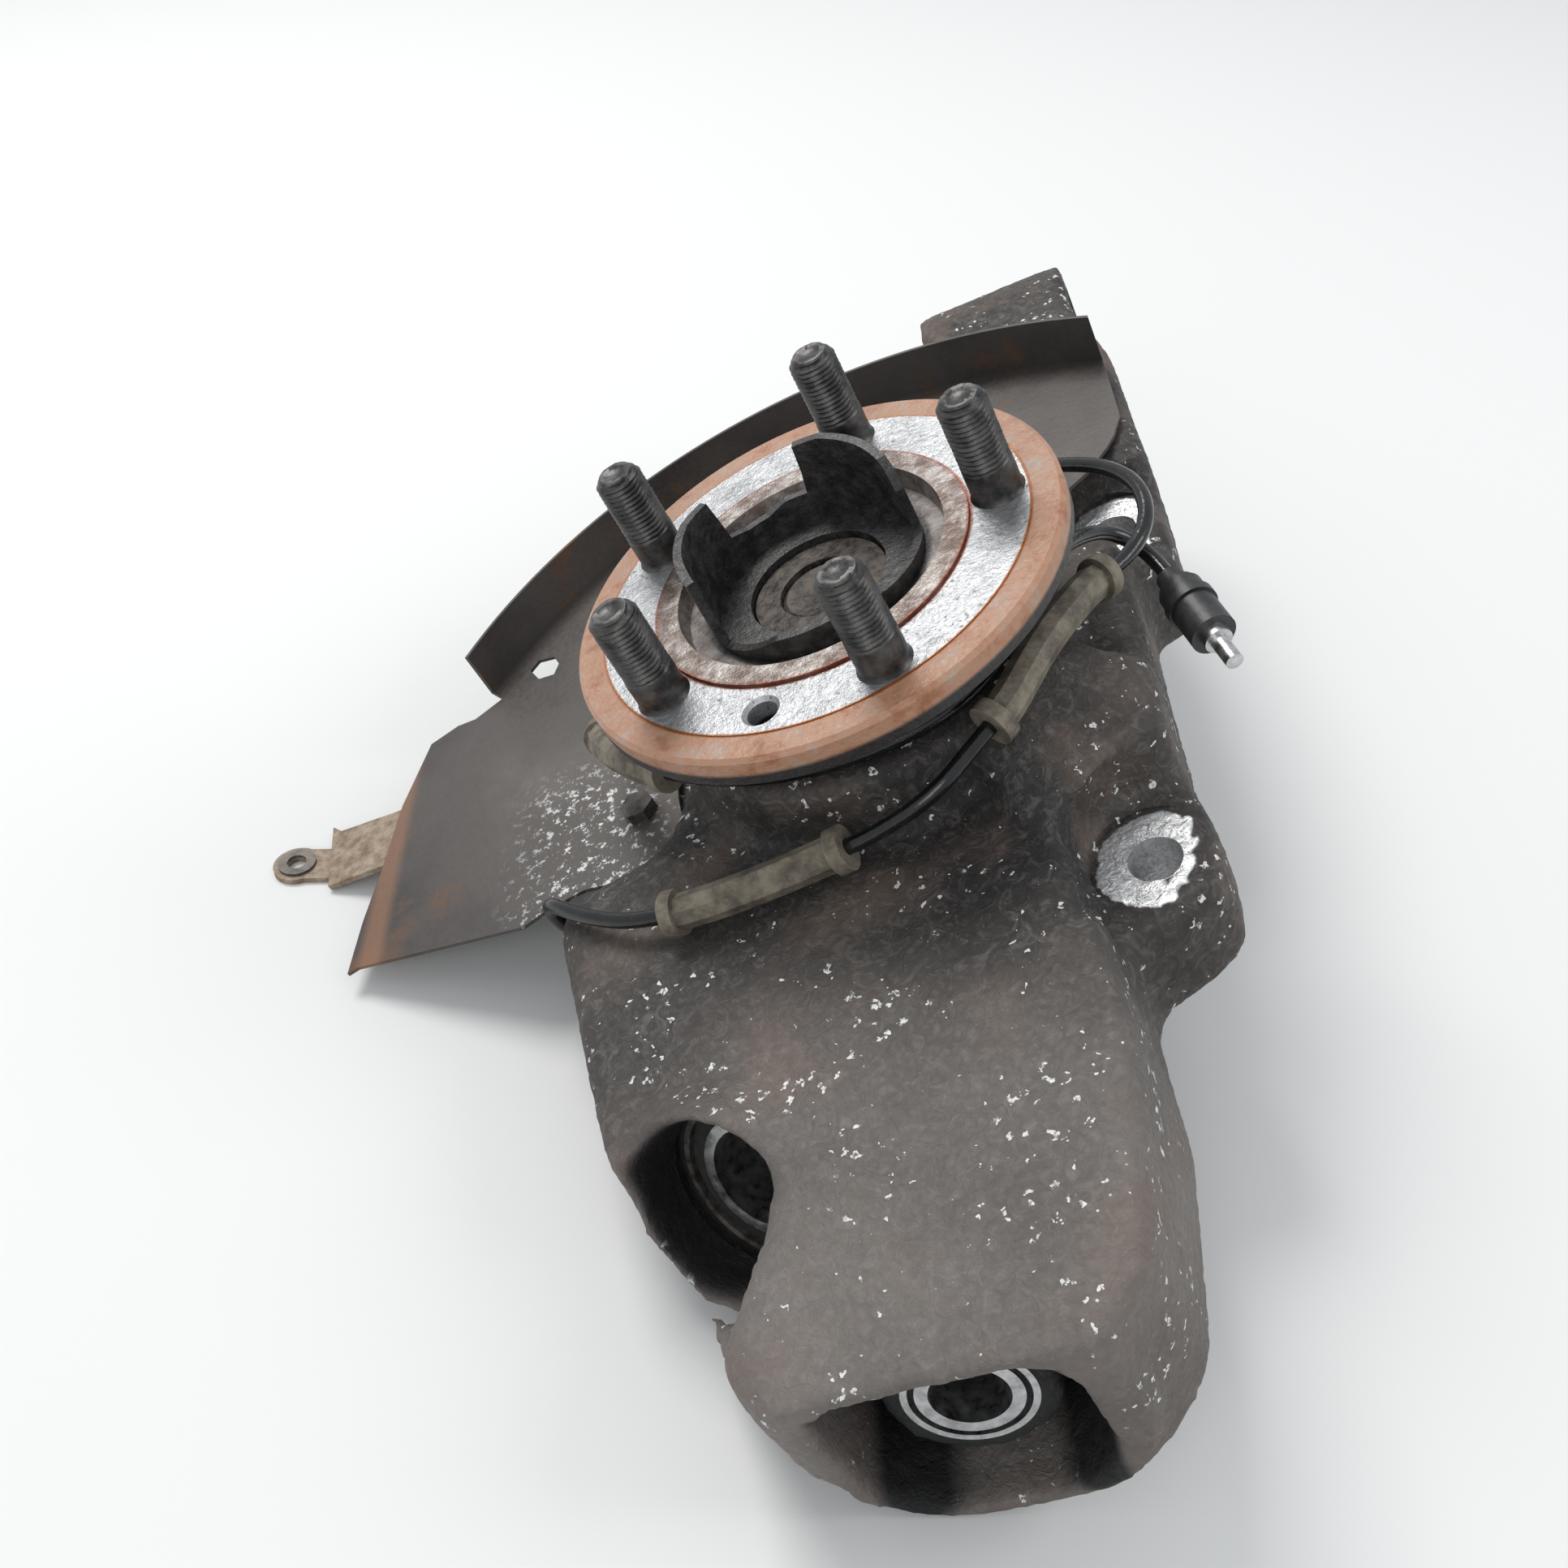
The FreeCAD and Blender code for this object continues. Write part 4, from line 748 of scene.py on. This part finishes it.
def carve(thing, part):
    """Cut one closed solid out of a closed mesh."""
    tool = solid_object("cutter", [part])
    cutting = thing.modifiers.new("cut", "BOOLEAN")
    cutting.operation = "DIFFERENCE"
    cutting.solver = "MANIFOLD"
    cutting.object = tool
    renew(thing)
    discard(tool)


CAST_VOXEL = 1.85
CAST_ROUNDS = 26
# Rods that fill the bores while the casting is rounded: radius, from, to, centre, axis
PLUGS = (
    (10.0, -102.4, -70.6, EAR_A, Z_AXIS),
    (10.0, -107.0, -70.6, EAR_B, Z_AXIS),
    (25.0, -27.4, 27.4, UPPER_EYE, X_AXIS),
    (8.0, -11.4, 11.4, REAR_LUG, Y_AXIS),
    (17.5, -35.0, -0.6, LOWER_FRONT, LOWER_AXIS),
    (28.6, -27.0, 18.0, SIDE_FRONT, SIDE_AXIS),
    (46.0, -83.4, -28.6, HOUSING, Z_AXIS),
)
# The side pocket's plug takes in its thin wall, and this rod opens the pocket again
POCKET_ROD = (24.3, 0.0, 80.0, SIDE_FRONT, SIDE_AXIS)
# Ends that are rounded less: share held back, axis, side, and where that begins and is full
HELD_BACK = (
    (0.75, 1, -1, 188.0, 200.0),    # the lower mouth's lip
    (0.7, 1, 1, 185.0, 195.0),      # the upper eye
    (0.7, 2, -1, 122.0, 132.0),     # the rear lug
)
# The side pocket's thin wall, rounded less too: distance from its axis, and depths in -y and -z
THIN_SHARE = 0.7
THIN_R = (30.0, 38.0)
THIN_Y = (112.0, 124.0)
THIN_Z = (62.0, 72.0)
# Sand texture and slow waviness: height, fineness, and a shift that sets the layers apart
SAND = ((0.34, 0.33, (0, 0, 0)), (0.26, 0.62, (9, 2, 5)), (0.32, 0.03, (4, 1, 7)))
# Height and radius of the stepped cuts
LOWER_STEPS = ((-36.0, 15.3), (0.0, 15.3), (0.0, 19.5), (9.0, 19.5))
SIDE_STEPS = ((-28.0, 23.0), (0.0, 23.0), (0.0, 24.6), (3.0, 24.6))
HOUSING_STEPS = ((-150.0, 44.4), (-72.5, 44.4), (-72.5, 37.0), (-69.0, 37.0), (-69.0, 41.0),
                 (-33.0, 41.0), (-33.0, 43.0), (-31.0, 43.0), (-31.0, 44.0), (-20.0, 44.0))


def crisp_cuts():
    """Bores and spot faces, in the order of cutting: radius, from, to, centre, axis, sides."""
    return [
        rod(7.25, -130.0, -50.0, EAR_A, Z_AXIS),
        rod(7.25, -130.0, -60.0, EAR_B, Z_AXIS),
        rod(17.2, -70.0, -57.0, EAR_A, Z_AXIS, BORE_SIDES),
        rod(17.0, -70.0, -57.0, EAR_B, Z_AXIS, BORE_SIDES),
        rod(23.0, -60.0, 60.0, UPPER_EYE, X_AXIS, BORE_SIDES),
        rod(27.0, 28.0, 60.0, UPPER_EYE, X_AXIS, BORE_SIDES),
        rod(27.0, -60.0, -28.0, UPPER_EYE, X_AXIS, BORE_SIDES),
        rod(6.0, -40.0, 40.0, REAR_LUG, Y_AXIS),
        rod(14.0, 12.0, 40.0, REAR_LUG, Y_AXIS),
        rod(14.0, -40.0, -12.0, REAR_LUG, Y_AXIS),
        lathe(LOWER_STEPS, LOWER_FRONT, LOWER_AXIS, BORE_SIDES),
        lathe(SIDE_STEPS, SIDE_FRONT, SIDE_AXIS, BORE_SIDES),
        lathe(HOUSING_STEPS, HOUSING, Z_AXIS, HOUSING_SIDES),
    ]


def rounding(local):
    """How far each point of the casting is rounded, from 0 to 1."""
    weight = np.ones(len(local))
    for share, axis, side, begins, full in HELD_BACK:
        weight *= 1.0 - share * soft_step(side * local[:, axis], begins, full)
    from_pocket = np.linalg.norm(np.cross(local - np.array(SIDE_FRONT), np.array(SIDE_AXIS)), axis=1)
    thin = (1.0 - soft_step(from_pocket, *THIN_R)) * soft_step(-local[:, 1], *THIN_Y)
    weight *= 1.0 - THIN_SHARE * thin * soft_step(-local[:, 2], *THIN_Z)
    return weight


def sand_height(local):
    """How far each point of the casting stands out, in millimetres."""
    rise = np.zeros(len(local))
    for index, spot in enumerate(local):
        where = Vector(spot)
        for height, fineness, shift in SAND:
            rise[index] += height * noise.noise(where * fineness + Vector(shift))
    return rise


def add_casting(material):
    rough = solid_object("cast_rough", [rod(*plug) for plug in PLUGS], nodes["knuckle_casting"].data)
    remeshed(rough)
    carve(rough, rod(*POCKET_ROD))
    remeshed(rough)
    mesh = rough.data.copy()
    discard(rough)
    spots, edges = mesh_arrays(mesh)
    spots = relax(spots, edges, rounding(hub_frame(spots)), CAST_ROUNDS)
    move_points(mesh, spots)
    normals = np.empty(len(spots) * 3)
    mesh.vertex_normals.foreach_get("vector", normals)
    rise = sand_height(hub_frame(spots))
    move_points(mesh, spots + normals.reshape(-1, 3) * rise[:, None] * MM)
    casting = new_object("cast_body", mesh)
    for part in crisp_cuts():
        carve(casting, part)
    mesh = casting.data
    paint(mesh, material)
    smooth_shade(mesh, angle=40.0)
    print("casting triangles", sum(len(polygon.vertices) - 2 for polygon in mesh.polygons))
    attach(casting, "carrier")
    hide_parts("knuckle_casting")


# Put it together

add_camera()
add_stage()

cast = cast_material()
face = flange_material()
shield = shield_material()
black_steel = plain_metal("black_steel", (0.03, 0.03, 0.03), (0.11, 0.105, 0.1),
                          rough=0.3, metallic=0.75)
bright_steel = plain_metal("bright_steel", (0.42, 0.42, 0.42), (0.68, 0.68, 0.68),
                           rough=0.22, metallic=1.0, scale=300.0, bump=0.0001)
dull_steel = plain_metal("dull_steel", (0.05, 0.045, 0.04), (0.2, 0.18, 0.16),
                         rough=0.45, metallic=0.7)
burnt = plain_metal("burnt_metal", (0.008, 0.007, 0.006), (0.12, 0.1, 0.085),
                    rough=0.45, metallic=0.5, scale=260.0, bump=0.0012)
bracket = plain_metal("bracket_rust", (0.16, 0.105, 0.065), (0.36, 0.29, 0.22),
                      rough=0.55, metallic=0.2, scale=240.0, bump=0.0005)
black_rubber = rubber_material("black_rubber", (0.006, 0.006, 0.006), (0.024, 0.023, 0.022))
khaki_rubber = rubber_material("khaki_rubber", (0.06, 0.05, 0.036), (0.2, 0.17, 0.125), rough=0.7)
jacket = rubber_material("cable_jacket", (0.004, 0.004, 0.004), (0.012, 0.012, 0.012), rough=0.18)
plastic = rubber_material("sensor_plastic", (0.01, 0.01, 0.01), (0.03, 0.03, 0.03), rough=0.45)
cage_plastic = rubber_material("cage_plastic", (0.3, 0.2, 0.08), (0.5, 0.35, 0.15), rough=0.5)

FINISHES = {
    "knuckle_casting": cast, "hub_flange": face, "splash_shield": shield, "wheel_studs": black_steel,
    "bearing_outer_ring": bright_steel, "bearing_inner_ring_front": bright_steel,
    "bearing_inner_ring_rear": bright_steel, "bearing_balls_front": bright_steel,
    "bearing_balls_rear": bright_steel, "bearing_cage_front": cage_plastic,
    "bearing_cage_rear": cage_plastic, "bearing_seal_front": black_rubber,
    "bearing_seal_rear": black_rubber, "bearing_circlip": dull_steel, "tone_ring": dull_steel,
    "stub_axle": burnt, "axle_nut": burnt,
    "lower_bush_shell": bright_steel, "lower_bush_rubber": black_rubber, "lower_bush_sleeve": bright_steel,
    "side_bush_shell": dull_steel, "side_bush_rubber": black_rubber, "side_bush_sleeve": bright_steel,
    "upper_bush_shell": dull_steel, "upper_bush_rubber": black_rubber, "upper_bush_sleeve": dull_steel,
    "shield_bolts": dull_steel, "hose_bracket": bracket, "eyelet_washer": dull_steel,
    "abs_sensor": plastic, "sensor_bolt": dull_steel, "grommet_lower": khaki_rubber,
    "grommet_upper": khaki_rubber, "grommet_hub": khaki_rubber, "connector_boot": plastic,
    "cable_connector": plastic, "connector_pin": bright_steel,
}
for node_name, finish in FINISHES.items():
    paint(nodes[node_name].data, finish)
add_studs(black_steel)
add_casting(cast)
cable, cable_path = add_cable(jacket)
